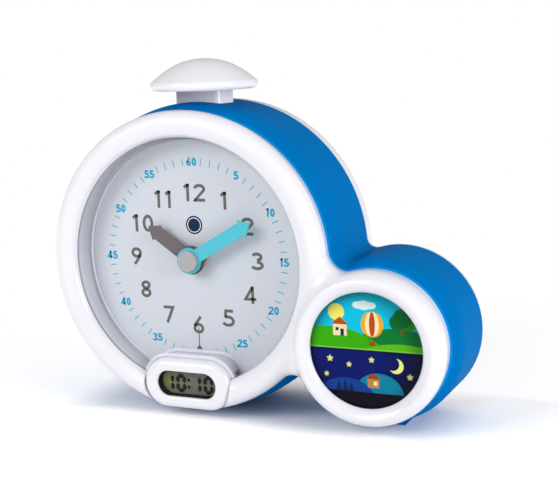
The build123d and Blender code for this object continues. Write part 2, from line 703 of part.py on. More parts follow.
def cover_bosses():
    """What stands on the cover's inside: bosses, posts and the walls of the battery bay."""
    pillar_gap_y = PILLAR_END_Y + RUN
    ledge = slab(DOOR_W + 2 * COVER_T, DOOR_H + 2 * COVER_T, DRUM_INNER_Y - COVER_T, DRUM_INNER_Y, 0, BAY_Z)
    bosses = slab(BAY_W + 2 * COVER_T, BAY_H + 2 * COVER_T, BAY_FLOOR_Y - COVER_T, DRUM_INNER_Y, 0, BAY_Z)
    bosses += ledge & disc(BIG_R + FLARE - COVER_T, 0, DRUM_BACK_Y)
    for x, z in big_pillar_places():
        bosses += disc(COVER_BOSS_R, pillar_gap_y, DRUM_INNER_Y, x, z)
    for x, z in small_pillar_places():
        bosses += disc(COVER_BOSS_R, pillar_gap_y, SMALL_INNER_Y, x, z)
    for z in door_screw_zs():
        bosses += disc(DOOR_BOSS_R, DRUM_INNER_Y - DOOR_SCREW_L - PILOT_OVER, DRUM_INNER_Y, 0, z)
    for x, z in board_screw_places():
        bosses += disc(BOARD_POST_R, CONTROL_BOARD_BACK_Y, DRUM_INNER_Y, x, z)
    for x, z in speaker_screw_places():
        bosses += disc(BOARD_POST_R, SPEAKER_FRONT_Y, SMALL_INNER_Y, x, z)
    return bosses


def cover_screw_holes():
    """Holes for the case screws with sunk seats, and blind ones for the small screws."""
    past = DRUM_BACK_Y + CLEAR
    holes = []
    for x, z in big_pillar_places():
        holes.append(disc(SCREW_R + SHAFT_FIT, 0, past, x, z))
        holes.append(disc(SCREW_HEAD_R + RUN, SEAT_Y, past, x, z))
    for x, z in small_pillar_places():
        holes.append(disc(SCREW_R + SHAFT_FIT, 0, past, x, z))
        holes.append(disc(SCREW_HEAD_R + RUN, SMALL_SEAT_Y, past, x, z))
    for z in door_screw_zs():
        holes.append(pilot(0, z, DOOR_SEAT_Y - DOOR_SCREW_L - PILOT_OVER / 2, DRUM_BACK_Y))
    for x, z in board_screw_places():
        holes.append(pilot(x, z, CONTROL_BOARD_Y, CONTROL_BOARD_Y + BOARD_SCREW_L + PILOT_OVER))
    for x, z in speaker_screw_places():
        holes.append(pilot(x, z, SPEAKER_FRONT_Y - CLEAR, SPEAKER_FRONT_Y + SMALL_SCREW_L))
    return holes


def cover_openings():
    """The battery bay, the openings for the rear controls and the speaker's grille."""
    front, past = DRUM_INNER_Y - CLEAR, DRUM_BACK_Y + CLEAR
    slot_w, slot_h = SWITCH_KNOB_W + SWITCH_TRAVEL + 2 * RUN, SWITCH_KNOB_H + 2 * RUN
    openings = [
        slab(BAY_W, BAY_H, BAY_FLOOR_Y, past, 0, BAY_Z),
        slab(DOOR_W + 2 * RUN, DOOR_H + 2 * RUN, DOOR_SEAT_Y, past, 0, BAY_Z, DOOR_ROUND),
        disc(KNOB_NECK_R + RUN, front, past, *set_wheel_place()),
        slab(slot_w, slot_h, front, past, SWITCH_X + SWITCH_TRAVEL / 2, SWITCH_Z),
        disc(JACK_R + JACK_RIM, front, past, JACK_X, JACK_Z),
    ]
    for x in BUTTON_XS:
        openings.append(disc(PUSH_R + RUN, front, past, x, BUTTON_ROW_Z))
    for x, z in grille_places():
        openings.append(disc(GRILLE_HOLE_R, SMALL_INNER_Y - CLEAR, SMALL_BACK_Y + CLEAR, x, z))
    return openings


def rear_cover():
    """The white back with everything that is moulded on it."""
    solid = cover_shell() + cover_bosses()
    for cut in cover_openings() + cover_screw_holes():
        solid -= cut
    return solid


def case_screws():
    """Four screws behind the large lobe and two behind the small one."""
    group = [screw(x, z, SEAT_Y, SCREW_L) for x, z in big_pillar_places()]
    group += [screw(x, z, SMALL_SEAT_Y, SMALL_LOBE_SCREW_L) for x, z in small_pillar_places()]
    return Compound(children=group)


# ---- dial side ----


def dial_lens():
    """A clear tray over the dial: flat front, side wall, foot, and an arch round the pod."""
    front_y = OPENING_Y - LENS_PROUD
    r = OPENING_R - FIT
    tray = disc(r, front_y, -FIT) - disc(r - LENS_T, front_y + LENS_T, CLEAR)
    tray += prism(stadium(POD_GAP + LENS_T), front_y, -FIT) & disc(r, front_y, CLEAR)
    tray += ring(OPENING_R + LENS_FLANGE, r - LENS_T, -LENS_FLANGE_T, -FIT)
    notch = prism(stadium(POD_GAP), front_y - CLEAR, CLEAR)
    below = slab(2 * POD_HALF, 2 * POD_END_R, front_y - CLEAR, CLEAR, 0, POD_Z - POD_END_R)
    return tray - notch - below


def dial_plate():
    """The dial: a disc with a hole for the movement's bush and three screw ears."""
    face = Circle(DIAL_R)
    for x, z in dial_screw_places():
        face += Pos(x, z) * Circle(EAR_R)
    face -= Circle(BUSH_R + FIT)
    for x, z in dial_screw_places():
        face -= Pos(x, z) * Circle(SMALL_SCREW_R + FIT)
    return prism(face, 0, DIAL_T)


def dial_screws():
    """Three screws that hold the dial to the bezel."""
    return Compound(children=[small_screw(x, z, DIAL_T, SMALL_SCREW_L) for x, z in dial_screw_places()])


def hand(length, barb_at, hub_r, bore_r, front_y, angle):
    """A broad hand with an arrow tip and a round hub, turned clockwise from twelve."""
    right = [(BLADE_HALF, 0), (BLADE_HALF, barb_at), (BARB_HALF, barb_at)]
    left = [(-x, y) for x, y in reversed(right)]
    face = make_face(Polyline(*right, (0, length), *left, close=True))
    face = face + Circle(hub_r) - Circle(bore_r)
    return prism(Rot(0, 0, -angle) * face, front_y, front_y + HAND_T)


def hand_angles():
    """The angles of the hour and minute hands at rest, clockwise from twelve."""
    return (HOURS % 12 + MINUTES / 60) * 30, MINUTES * 6


def minute_hand():
    """The long hand, pressed on the minute shaft."""
    bore = SHAFT_R + PRESS_FIT
    return hand(MINUTE_HAND_L, MINUTE_BARB_AT, MINUTE_HUB_R, bore, MINUTE_HAND_Y, hand_angles()[1])


def hour_hand():
    """The short hand, pressed on the hour wheel's tube."""
    bore = HOUR_TUBE_R + PRESS_FIT
    return hand(HOUR_HAND_L, HOUR_BARB_AT, HOUR_HUB_R, bore, HOUR_HAND_Y, hand_angles()[0])


def hub_cap():
    """The round cap pressed on the minute shaft, over both hands."""
    cap = disc(CAP_R, MINUTE_HAND_Y - CAP_T, MINUTE_HAND_Y)
    cap = fillet(cap.faces().sort_by(Axis.Y)[0].edges(), CAP_ROUND)
    return cap - disc(SHAFT_R + PRESS_FIT, SHAFT_TIP_Y - 2 * SHAFT_END_GAP, MINUTE_HAND_Y + CLEAR)


# ---- digital display ----


def stadium(grow=0.0):
    """The pod's outline."""
    return Pos(0, POD_Z) * SlotOverall(2 * (POD_HALF + grow), 2 * (POD_END_R + grow))


def window_outline(grow=0.0):
    """The outline of the pod's window."""
    return Pos(0, POD_Z) * SlotOverall(2 * (WINDOW_HALF + grow), 2 * (WINDOW_END_R + grow))


def pod_frame():
    """The oblong white hood of the digital display, with its skirt and two snap hooks."""
    inner_y = POD_FRONT_Y + POD_WALL
    hood = prism(stadium(), POD_FRONT_Y, POD_BACK_Y)
    hood = fillet(hood.faces().sort_by(Axis.Y)[0].edges(), POD_ROUND)
    within_lens = disc(OPENING_R - LENS_T - SKIRT_GAP, AHEAD_Y, CLEAR)
    frame = hood + (prism(stadium(), POD_BACK_Y, -FIT - SHAFT_FIT) & within_lens)
    frame -= prism(stadium(-POD_WALL), inner_y + CLEAR, CLEAR)
    frame -= prism(window_outline(HOLDER_WALL + WINDOW_REBATE), inner_y, CLEAR)
    frame -= prism(window_outline(), POD_FRONT_Y - CLEAR, 0)
    frame = fillet(frame.faces().sort_by(Axis.Y)[0].inner_wires()[0].edges(), WINDOW_ROUND)
    frame -= prism(window_outline(WINDOW_REBATE), WINDOW_SEAT_Y, 0)
    for side in (-1, 1):
        x = side * (POD_HALF + HOOK_W - HOOK_SINK - HOOK_W / 2)
        frame += slab(HOOK_W + HOOK_SINK, HOOK_H, HOOK_Y, HOOK_Y + HOOK_T, x, POD_Z)
    for x, z in stake_places():
        frame += disc(STAKE_POST_R, inner_y, LCD_BOARD_Y, x, z)
        frame += disc(STAKE_R, LCD_BOARD_Y, LCD_BOARD_Y + BOARD_T + STAKE_HEAD, x, z)
    return frame


def lcd_window():
    """The clear window, seated in a rebate behind the hood's opening."""
    return prism(window_outline(WINDOW_REBATE - SHAFT_FIT), WINDOW_SEAT_Y, WINDOW_SEAT_Y + WINDOW_T)


def lcd_holder():
    """The black wall between the window and the display."""
    front = WINDOW_SEAT_Y + WINDOW_T
    return prism(window_outline(HOLDER_WALL) - window_outline(), front, PANEL_Y)


def lcd_panel():
    """The glass of the liquid crystal display."""
    return slab(2 * PANEL_HALF, PANEL_H, PANEL_Y, LCD_BOARD_Y, 0, POD_Z)


def lcd_board():
    """The display's circuit board, riveted to the pod."""
    board = slab(LCD_BOARD_W, LCD_BOARD_H, LCD_BOARD_Y, LCD_BOARD_Y + BOARD_T, 0, POD_Z)
    for x, z in stake_places():
        board -= disc(STAKE_R + SHAFT_FIT, LCD_BOARD_Y - CLEAR, LCD_BOARD_Y + BOARD_T + CLEAR, x, z)
    return board


# ---- night light ----


def night_lens():
    """The clear disc over the picture."""
    return disc(LIGHT_R, PICTURE_Y, PICTURE_Y + LIGHT_LENS_T, LOBE_DX, LOBE_DZ)


def picture_sheet():
    """The translucent picture, upper half day and lower half night."""
    front = PICTURE_Y + LIGHT_LENS_T
    return disc(LIGHT_R, front, front + SHEET_T, LOBE_DX, LOBE_DZ)


def light_ear(x, z):
    """A screw ear on the light box's side."""
    way = bearing((LOBE_DX, LOBE_DZ), (x, z))
    middle = polar(LIGHT_SCREW_R - LIGHT_EAR_L / 2, way, LOBE_DX, LOBE_DZ)
    tab = Pos(*middle) * Rot(0, 0, way) * Rectangle(LIGHT_EAR_L, 2 * LIGHT_EAR_R)
    return prism(tab + Pos(x, z) * Circle(LIGHT_EAR_R), LIGHT_EAR_Y, LIGHT_EAR_Y + LIGHT_EAR_T)


def light_box():
    """The white cup behind the picture, parted across so that each half is lit alone."""
    front = PICTURE_Y + LIGHT_LENS_T + SHEET_T
    inner = LIGHT_R - LIGHT_BOX_WALL
    floor_y = LIGHT_BOX_BACK_Y - LIGHT_BOX_WALL
    cup = disc(LIGHT_R, front, LIGHT_BOX_BACK_Y, LOBE_DX, LOBE_DZ)
    for x, z in light_screw_places():
        cup += light_ear(x, z)
    cup -= disc(inner, front - CLEAR, floor_y, LOBE_DX, LOBE_DZ)
    cup += slab(2 * inner + LIGHT_BOX_WALL, DIVIDER_T, front, floor_y, LOBE_DX, LOBE_DZ)
    for x, z in led_screw_places():
        cup += disc(LED_BOSS_R, LIGHT_BOX_BACK_Y - LED_BOSS_L, LIGHT_BOX_BACK_Y, x, z)
    for x, z in light_screw_places():
        cup -= disc(SMALL_SCREW_R + FIT, LIGHT_EAR_Y - CLEAR, LIGHT_EAR_Y + LIGHT_EAR_T + CLEAR, x, z)
    for x, z in led_screw_places():
        cup -= pilot(x, z, LIGHT_BOX_BACK_Y - LED_SCREW_L + BOARD_T - PILOT_OVER, LIGHT_BOX_BACK_Y + CLEAR)
    for side in (-1, 1):
        z = LOBE_DZ + side * LED_OFFSET
        cup -= disc(LED_R + LED_HOLE_FIT, floor_y - CLEAR, LIGHT_BOX_BACK_Y + CLEAR, LOBE_DX, z)
    return cup


def light_box_screws():
    """Two screws that hold the light box to the bezel and two that hold its board."""
    ear_seat, board_seat = LIGHT_EAR_Y + LIGHT_EAR_T, LIGHT_BOX_BACK_Y + BOARD_T
    group = [small_screw(x, z, ear_seat, SMALL_SCREW_L) for x, z in light_screw_places()]
    group += [small_screw(x, z, board_seat, LED_SCREW_L) for x, z in led_screw_places()]
    return Compound(children=group)


def led_board():
    """The round board behind the light box, which carries both lamps."""
    back = LIGHT_BOX_BACK_Y + BOARD_T
    board = disc(LED_BOARD_R, LIGHT_BOX_BACK_Y, back, LOBE_DX, LOBE_DZ)
    for x, z in led_screw_places():
        board -= disc(SMALL_SCREW_R + FIT, LIGHT_BOX_BACK_Y - CLEAR, back + CLEAR, x, z)
    return board


def lamp(side):
    """A lamp with a collar; its dome points forward into its half of the light box."""
    z = LOBE_DZ + side * LED_OFFSET
    dome_y = LIGHT_BOX_BACK_Y - LED_L
    collar = disc(LED_COLLAR_R, LIGHT_BOX_BACK_Y - 1, LIGHT_BOX_BACK_Y, LOBE_DX, z)
    body = disc(LED_R, dome_y, LIGHT_BOX_BACK_Y, LOBE_DX, z)
    return collar + body + Pos(LOBE_DX, dome_y, z) * Sphere(LED_R)


def day_led():
    """The lamp of the day half."""
    return lamp(1)


def night_led():
    """The lamp of the night half."""
    return lamp(-1)


# ---- snooze button ----


def snooze_dome():
    """The button's dome, hollow below, with a round lip."""
    shoulder_r, shoulder_drop = DOME_SHOULDER
    shoulder = (shoulder_r, DOME_TOP_Z - shoulder_drop)
    inner_shoulder = (shoulder_r - LIP_WALL, DOME_TOP_Z - shoulder_drop - DOME_WALL)
    inner_top = (0, DOME_TOP_Z - DOME_WALL)
    inner_rim = (DOME_R - DOME_WALL - LIP_WALL, DOME_RIM_Z)
    lip_centre = (DOME_R - DOME_LIP, DOME_RIM_Z - DOME_LIP * sin(radians(LIP_END)))
    lip = arc(lip_centre, DOME_LIP, LIP_START, LIP_END)
    over = Spline((0, DOME_TOP_Z), shoulder, lip @ 0, tangents=[(1, 0), lip % 0])
    under = Spline(inner_rim, inner_shoulder, inner_top, tangents=[(-0.5, 0.8), (-1, 0)])
    outline = [over, lip, Line(lip @ 1, inner_rim), under, Line(inner_top, (0, DOME_TOP_Z))]
    return Pos(0, BUTTON_Y, 0) * revolve(Plane.XZ * make_face(outline), Axis.Z)


def snooze_button():
    """The white dome on its hollow stem, with a lug inside the stem for each of its screws."""
    stem_top = DOME_TOP_Z - STEM_SINK
    stem = stem_block(0, RETAINER_Z, stem_top) - stem_block(-STEM_WALL, RETAINER_Z, stem_top)
    for x in (-LUG_X, LUG_X):
        stem += post(Rectangle(LUG_W, LUG_D), RETAINER_Z, RETAINER_Z + LUG_H, x, BUTTON_Y)
        hole = Circle(SMALL_SCREW_R + SHAFT_FIT)
        stem -= post(hole, RETAINER_Z - CLEAR, RETAINER_Z + LUG_H, x, BUTTON_Y)
    return snooze_dome() + stem


def snooze_retainer():
    """The plate under the stem that stops the button from lifting out and presses its switch."""
    bottom = RETAINER_Z - RETAINER_T
    nose_z = SNOOZE_BOARD_Z + TACT_H + TACT_TIP_H + SNOOZE_TRAVEL + RUN
    plate = stem_block(RETAINER_LEDGE, bottom, RETAINER_Z)
    plate += post(Circle(NOSE_R), nose_z, bottom, y=BUTTON_Y)
    for x in (-LUG_X, LUG_X):
        plate -= post(Circle(SMALL_SCREW_R + SHAFT_FIT), bottom - CLEAR, RETAINER_Z + CLEAR, x, BUTTON_Y)
    return plate


def snooze_screws():
    """The two screws that hold the retainer to the stem."""
    seat = RETAINER_Z - RETAINER_T
    return Compound(children=[upright_screw(x, BUTTON_Y, seat, RETAINER_SCREW_L) for x in (-LUG_X, LUG_X)])


def snooze_board_screws():
    """The two screws that hold the board to the housing's legs."""
    seat = SNOOZE_BOARD_Z - BOARD_T
    return Compound(children=[upright_screw(x, BUTTON_Y, seat, SNOOZE_SCREW_L) for x in (-LEG_X, LEG_X)])


def snooze_spring():
    """The return spring round the button's switch."""
    bottom = SNOOZE_BOARD_Z + SPRING_WIRE + SPRING_GAP
    top = RETAINER_Z - RETAINER_T - SPRING_WIRE - RUN
    path = Helix((top - bottom) / SPRING_TURNS, top - bottom, SPRING_R)
    section = Plane(path @ 0, z_dir=path % 0) * Circle(SPRING_WIRE)
    return Pos(0, BUTTON_Y, bottom) * sweep(section, path=path, is_frenet=True)


def snooze_board():
    """The small board under the button."""
    bottom = SNOOZE_BOARD_Z - BOARD_T
    board = post(Rectangle(2 * LEG_X + 2 * LEG_W - 2, SNOOZE_BOARD_D), bottom, SNOOZE_BOARD_Z, y=BUTTON_Y)
    for x in (-LEG_X, LEG_X):
        board -= post(Circle(SMALL_SCREW_R + FIT), bottom - CLEAR, SNOOZE_BOARD_Z + CLEAR, x, BUTTON_Y)
    return board


def snooze_switch():
    """The push switch under the button."""
    top = SNOOZE_BOARD_Z + TACT_H
    body = post(Rectangle(TACT, TACT), SNOOZE_BOARD_Z, top, y=BUTTON_Y)
    return body + post(Circle(TACT_TIP_R), top, top + TACT_TIP_H, y=BUTTON_Y)


# ---- clock movement ----


def tooth_half_angle(teeth, radius):
    """Half of a tooth's width as an angle in degrees, at a radius, from an involute flank."""
    pitch_r = GEAR_MODULE * teeth / 2
    pressure = radians(PRESSURE_ANGLE)
    base_r = pitch_r * cos(pressure)
    at_pitch = (pi * GEAR_MODULE / 2 - GEAR_BACKLASH) / 2 / pitch_r
    outside = max(radius, base_r)
    involute = sqrt((outside / base_r) ** 2 - 1) - acos(base_r / outside)
    return degrees(at_pitch + (sin(pressure) / cos(pressure) - pressure) - involute)


def gear_face(teeth, addendum, phase):
    """A spur gear's outline; phase is the angle in degrees of its first tooth."""
    pitch_r = GEAR_MODULE * teeth / 2
    root_r = pitch_r - DEDENDUM * GEAR_MODULE
    tip_r = pitch_r + addendum * GEAR_MODULE
    flank = [(r, tooth_half_angle(teeth, r)) for r in (root_r, pitch_r, tip_r)]
    corners = []
    for n in range(teeth):
        middle = phase + 360 * n / teeth
        corners += [polar(r, middle - half) for r, half in flank]
        corners += [polar(r, middle + half) for r, half in reversed(flank)]
    return make_face(Polyline(*corners, close=True))


def minute_phase():
    """The minute wheel has a gap towards the cannon pinion's tooth."""
    return MINUTE_WHEEL_ANGLE + 180 + 180 / MINUTE_TEETH


def set_phase():
    """The setting pinion's teeth fall in the minute wheel's gaps on the line between them."""
    step = 360 / MINUTE_TEETH
    past_tooth = ((SET_WHEEL_ANGLE - minute_phase()) % step) / step
    return SET_WHEEL_ANGLE + 180 + (past_tooth + 0.5) * 360 / CANNON_TEETH


def cannon_pinion():
    """The minute shaft with its pinion."""
    pinion = gear_face(CANNON_TEETH, PINION_ADDENDUM, MINUTE_WHEEL_ANGLE)
    shaft = disc(SHAFT_R, SHAFT_TIP_Y, MOVE_INNER_Y - SHAFT_END_GAP)
    return shaft + prism(pinion, CANNON_Y, CANNON_Y + CANNON_T)


def hour_wheel():
    """The hour wheel on its tube, which turns on the minute shaft inside the bush."""
    back = HOUR_WHEEL_Y + WHEEL_T
    phase = MINUTE_WHEEL_ANGLE + 180 / HOUR_TEETH
    wheel = prism(gear_face(HOUR_TEETH, WHEEL_ADDENDUM, phase), HOUR_WHEEL_Y, back)
    wheel += disc(HOUR_TUBE_R, HOUR_TUBE_FRONT_Y, back)
    return wheel - disc(SHAFT_R + SHAFT_FIT, HOUR_TUBE_FRONT_Y - CLEAR, back + CLEAR)


def minute_wheel():
    """The intermediate wheel and pinion that slow the hour hand down twelve times."""
    x, z = minute_wheel_place()
    back = MINUTE_WHEEL_Y + WHEEL_T
    wheel = prism(gear_face(MINUTE_TEETH, WHEEL_ADDENDUM, minute_phase()), MINUTE_WHEEL_Y, back)
    pinion = gear_face(PINION_TEETH, PINION_ADDENDUM, MINUTE_WHEEL_ANGLE + 180)
    wheel += prism(pinion, MINUTE_PINION_Y, MINUTE_WHEEL_Y + SHAFT_FIT)
    return Pos(x, 0, z) * wheel - disc(ARBOR_R + SHAFT_FIT, MINUTE_PINION_Y - CLEAR, back + CLEAR, x, z)


def set_pinion():
    """The setting pinion and its long stem to the knob on the back."""
    x, z = set_wheel_place()
    pinion = prism(gear_face(CANNON_TEETH, PINION_ADDENDUM, set_phase()), CANNON_Y, CANNON_Y + CANNON_T)
    return Pos(x, 0, z) * pinion + disc(SET_SHAFT_R, CANNON_Y, KNOB_BACK_Y - STEM_COVER_T, x, z)


def set_knob():
    """The ribbed knob on the back that sets the hands."""
    x, z = set_wheel_place()
    rim = Circle(KNOB_R)
    for n in range(KNOB_GRIPS):
        rim -= Pos(*polar(KNOB_R + GRIP_OUT, 360 * n / KNOB_GRIPS)) * Circle(GRIP_R)
    knob = Pos(x, 0, z) * prism(rim, KNOB_FRONT_Y, KNOB_BACK_Y)
    knob += disc(KNOB_NECK_R, KNOB_NECK_Y, KNOB_FRONT_Y, x, z)
    bore_end = KNOB_BACK_Y - STEM_COVER_T + SHAFT_END_GAP
    return knob - disc(SET_SHAFT_R + PRESS_FIT, KNOB_NECK_Y - CLEAR, bore_end, x, z)


def movement_front():
    """The front half of the movement's case, with its bush and the minute wheel's arbor."""
    inner = MOVE_SIZE - 2 * MOVE_WALL
    case = slab(MOVE_SIZE, MOVE_SIZE, DIAL_T, MOVE_SPLIT_Y, corner=MOVE_CORNER)
    case -= slab(inner, inner, DIAL_T + MOVE_WALL, MOVE_SPLIT_Y)
    case += disc(BUSH_R, BUSH_FRONT_Y, DIAL_T)
    case -= disc(HOUR_TUBE_R + SHAFT_FIT, BUSH_FRONT_Y - CLEAR, DIAL_T + MOVE_WALL + CLEAR)
    return case + disc(ARBOR_R, DIAL_T, MOVE_SPLIT_Y, *minute_wheel_place())


def movement_back():
    """The back half of the movement's case, with bearings for the two shafts."""
    inner = MOVE_SIZE - 2 * MOVE_WALL
    bearing_y = MOVE_BACK_Y - BEARING_L
    case = slab(MOVE_SIZE, MOVE_SIZE, MOVE_SPLIT_Y, MOVE_BACK_Y, corner=MOVE_CORNER)
    case -= slab(inner, inner, MOVE_SPLIT_Y, MOVE_INNER_Y)
    case += disc(SHAFT_R + BEARING_WALL, bearing_y, MOVE_BACK_Y)
    case += disc(SET_SHAFT_R + BEARING_WALL, bearing_y, MOVE_BACK_Y, *set_wheel_place())
    case -= disc(SHAFT_R + SHAFT_FIT, bearing_y - CLEAR, MOVE_INNER_Y)
    return case - disc(SET_SHAFT_R + SHAFT_FIT, bearing_y - CLEAR, MOVE_BACK_Y + CLEAR, *set_wheel_place())


def movement_nut():
    """The hexagon nut that clamps the dial to the movement."""
    flats = RegularPolygon(NUT_FLATS / 2, 6, major_radius=False)
    return prism(flats - Circle(BUSH_R + SHAFT_FIT), -NUT_T, 0)


def movement_coil():
    """The motor's coil on its bobbin."""
    half = COIL_L / 2
    y = MOVE_INNER_Y - BOBBIN_D / 2 - SHAFT_END_GAP
    coil = post(Circle(COIL_R), -half, half, COIL_X, y)
    for z in (-half - BOBBIN_T, half):
        coil += post(Rectangle(BOBBIN_W, BOBBIN_D), z, z + BOBBIN_T, COIL_X, y)
    return coil


def movement_board():
    """The movement's small circuit board with its chip."""
    board_y = MOVE_INNER_Y - MOVE_BOARD_T
    board = slab(MOVE_BOARD_W, MOVE_BOARD_H, board_y, MOVE_INNER_Y, MOVE_BOARD_X, MOVE_BOARD_Z)
    return board + slab(MOVE_CHIP, MOVE_CHIP, board_y - MOVE_CHIP_T, board_y, MOVE_BOARD_X, MOVE_BOARD_Z)


# ---- rear controls ----


def control_board():
    """The board behind the rear buttons, with its chip in front."""
    front, back = CONTROL_BOARD_Y, CONTROL_BOARD_BACK_Y
    board = slab(CONTROL_BOARD_W, CONTROL_BOARD_H, front, back, 0, CONTROL_BOARD_Z)
    for x, z in board_screw_places():
        board -= disc(SMALL_SCREW_R + FIT, front - CLEAR, back + CLEAR, x, z)
    return board + slab(CHIP, CHIP, front - CHIP_T, front, CHIP_X, CONTROL_BOARD_Z)


def board_screws():
    """Four screws that hold the control board to the cover's posts."""
    places, seat = board_screw_places(), CONTROL_BOARD_Y
    return Compound(children=[small_screw(x, z, seat, BOARD_SCREW_L, back=False) for x, z in places])


def board_switches():
    """The four push switches under the rear buttons."""
    top = CONTROL_BOARD_BACK_Y + TACT_H
    group = []
    for x in BUTTON_XS:
        body = slab(TACT, TACT, CONTROL_BOARD_BACK_Y, top, x, BUTTON_ROW_Z)
        group.append(body + disc(TACT_TIP_R, top, top + TACT_TIP_H, x, BUTTON_ROW_Z))
    return Compound(children=group)


def rear_button(x):
    """A push button: cap through the cover, flange behind it and a nib over its switch."""
    flange_y = DRUM_INNER_Y - RUN - PUSH_FLANGE_T
    nib_y = CONTROL_BOARD_BACK_Y + TACT_H + TACT_TIP_H + PUSH_TRAVEL + RUN
    cap = disc(PUSH_R, flange_y, DRUM_BACK_Y + PUSH_PROUD, x, BUTTON_ROW_Z)
    cap = fillet(cap.faces().sort_by(Axis.Y)[-1].edges(), PUSH_ROUND)
    cap += disc(PUSH_R + PUSH_FLANGE, flange_y, flange_y + PUSH_FLANGE_T, x, BUTTON_ROW_Z)
    return cap + disc(TACT_TIP_R, nib_y, flange_y, x, BUTTON_ROW_Z)


def mode_switch():
    """The sliding knob of the night light's switch, at its left stop."""
    back = DRUM_INNER_Y - RUN
    flange_w = SWITCH_KNOB_W + SWITCH_TRAVEL + 2 * SWITCH_FLANGE
    foot_y = CONTROL_BOARD_BACK_Y + SWITCH_BODY_T + RUN
    knob = slab(SWITCH_KNOB_W, SWITCH_KNOB_H, foot_y, DRUM_BACK_Y + SWITCH_PROUD, SWITCH_X, SWITCH_Z)
    flange = slab(flange_w, SWITCH_KNOB_H + 2, back - SWITCH_FLANGE_T, back, SWITCH_X, SWITCH_Z)
    return knob + flange


def mode_switch_body():
    """The slide switch on the board, under its knob."""
    back = CONTROL_BOARD_BACK_Y + SWITCH_BODY_T
    middle = SWITCH_X + SWITCH_TRAVEL / 2
    return slab(SWITCH_BODY_W, SWITCH_BODY_H, CONTROL_BOARD_BACK_Y, back, middle, SWITCH_Z)


def dc_jack():
    """The round inlet for the mains adaptor: block, bore and centre pin."""
    back = DRUM_INNER_Y - JACK_GAP
    jack = slab(JACK_W, JACK_H, CONTROL_BOARD_BACK_Y, back, JACK_X, JACK_Z)
    jack -= disc(JACK_R, back - JACK_DEPTH, back + CLEAR, JACK_X, JACK_Z)
    return jack + disc(JACK_PIN_R, back - JACK_DEPTH - SHAFT_FIT, back - JACK_PIN_SHORT, JACK_X, JACK_Z)


# ---- batteries ----


def along_x(radius, length, x, y, z):
    """A round bar along X, given by its middle."""
    return Pos(x, y, z) * Rot(0, 90, 0) * Cylinder(radius, length)


def battery(n):
    """One AA cell with its head contact."""
    x, y, z = cell_centre(n)
    way = cell_way(n)
    body_x = x - way * (CELL_L - CELL_BODY_L) / 2
    head_x = x + way * (CELL_L - CELL_NUB_L) / 2
    return along_x(CELL_R, CELL_BODY_L, body_x, y, z) + along_x(CELL_NUB_R, CELL_NUB_L, head_x, y, z)


def contact_plate(n, side):
    """The metal plate at one end of cell n; side is 1 on the right."""
    x, y, z = cell_centre(n)
    return Pos(x + side * (BAY_W - CONTACT_T) / 2, y, z) * Box(CONTACT_T, CONTACT_SIZE, CONTACT_SIZE)


def contact_reach():
    """The room between a contact plate and the end of a cell."""
    return (BAY_W - CELL_L) / 2 - CONTACT_T - CONTACT_GAP


def battery_springs():
    """The cell springs, each on its plate, at the cells' flat ends."""
    group = []
    for n in CELLS:
        x, y, z = cell_centre(n)
        way = cell_way(n)
        height = contact_reach() - CELL_SPRING_WIRE
        path = Helix(height / CELL_SPRING_TURNS, height, CELL_SPRING_R)
        wire = sweep(Plane(path @ 0, z_dir=path % 0) * Circle(CELL_SPRING_WIRE), path=path, is_frenet=True)
        foot_x = x - way * (BAY_W / 2 - CONTACT_T)
        group.append(contact_plate(n, -way) + Pos(foot_x, y, z) * Rot(0, way * 90, 0) * wire)
    return Compound(children=group)


def battery_contacts():
    """The flat contacts at the cells' heads, dimpled forward to reach them."""
    group = []
    for n in CELLS:
        x, y, z = cell_centre(n)
        way = cell_way(n)
        reach = contact_reach()
        dimple_x = x + way * (BAY_W / 2 - CONTACT_T - reach / 2)
        group.append(contact_plate(n, way) + along_x(DIMPLE_R, reach, dimple_x, y, z))
    return Compound(children=group)


def battery_door():
    """The lid over the cells, with grip slots, held by a screw above and one below."""
    door = slab(DOOR_W, DOOR_H, DOOR_SEAT_Y, DRUM_BACK_Y, 0, BAY_Z, DOOR_ROUND)
    for n in range(GRIP_SLOTS):
        z = BAY_Z + (n - (GRIP_SLOTS - 1) / 2) * GRIP_SLOT_PITCH
        door -= slab(GRIP_SLOT_W, GRIP_SLOT_H, DRUM_BACK_Y - GRIP_SLOT_DEPTH, DRUM_BACK_Y + CLEAR, 0, z)
    for z in door_screw_zs():
        door -= pilot(0, z, DOOR_SEAT_Y - CLEAR, DRUM_BACK_Y + CLEAR)
    return door


def battery_door_screws():
    """The lid's two captive screws."""
    length = DOOR_SCREW_L + DOOR_T
    return Compound(children=[small_screw(0, z, DRUM_BACK_Y, length) for z in door_screw_zs()])


# ---- speaker ----


def turned(profile):
    """A part turned about the small lobe's axis, from points as radius and depth."""
    return Pos(LOBE_DX, 0, LOBE_DZ) * revolve(make_face(Polyline(*profile, close=True)), Axis.Y)


def speaker_frame():
    """The steel basket: flange, sloping side and the magnet's seat behind it."""
    front = SPEAKER_FRONT_Y
    seat = front - BASKET_DEPTH
    frame = turned(
        [
            (SPEAKER_R + SPEAKER_FLANGE, front),
            (SPEAKER_R + SPEAKER_FLANGE, front - SPEAKER_FLANGE_T),
            (SPEAKER_R - 2 * SPEAKER_FLANGE_T, front - SPEAKER_FLANGE_T),
            (BASKET_R, seat),
            (BASKET_BORE_R, seat),
            (BASKET_BORE_R, seat + BASKET_T),
            (BASKET_R - BASKET_T / 2, seat + BASKET_T),
            (SPEAKER_R - 3 * BASKET_T, front),
        ]
    )
    for x, z in speaker_screw_places():
        frame -= disc(SMALL_SCREW_R + FIT, front - SPEAKER_FLANGE_T - CLEAR, front + CLEAR, x, z)
    return frame


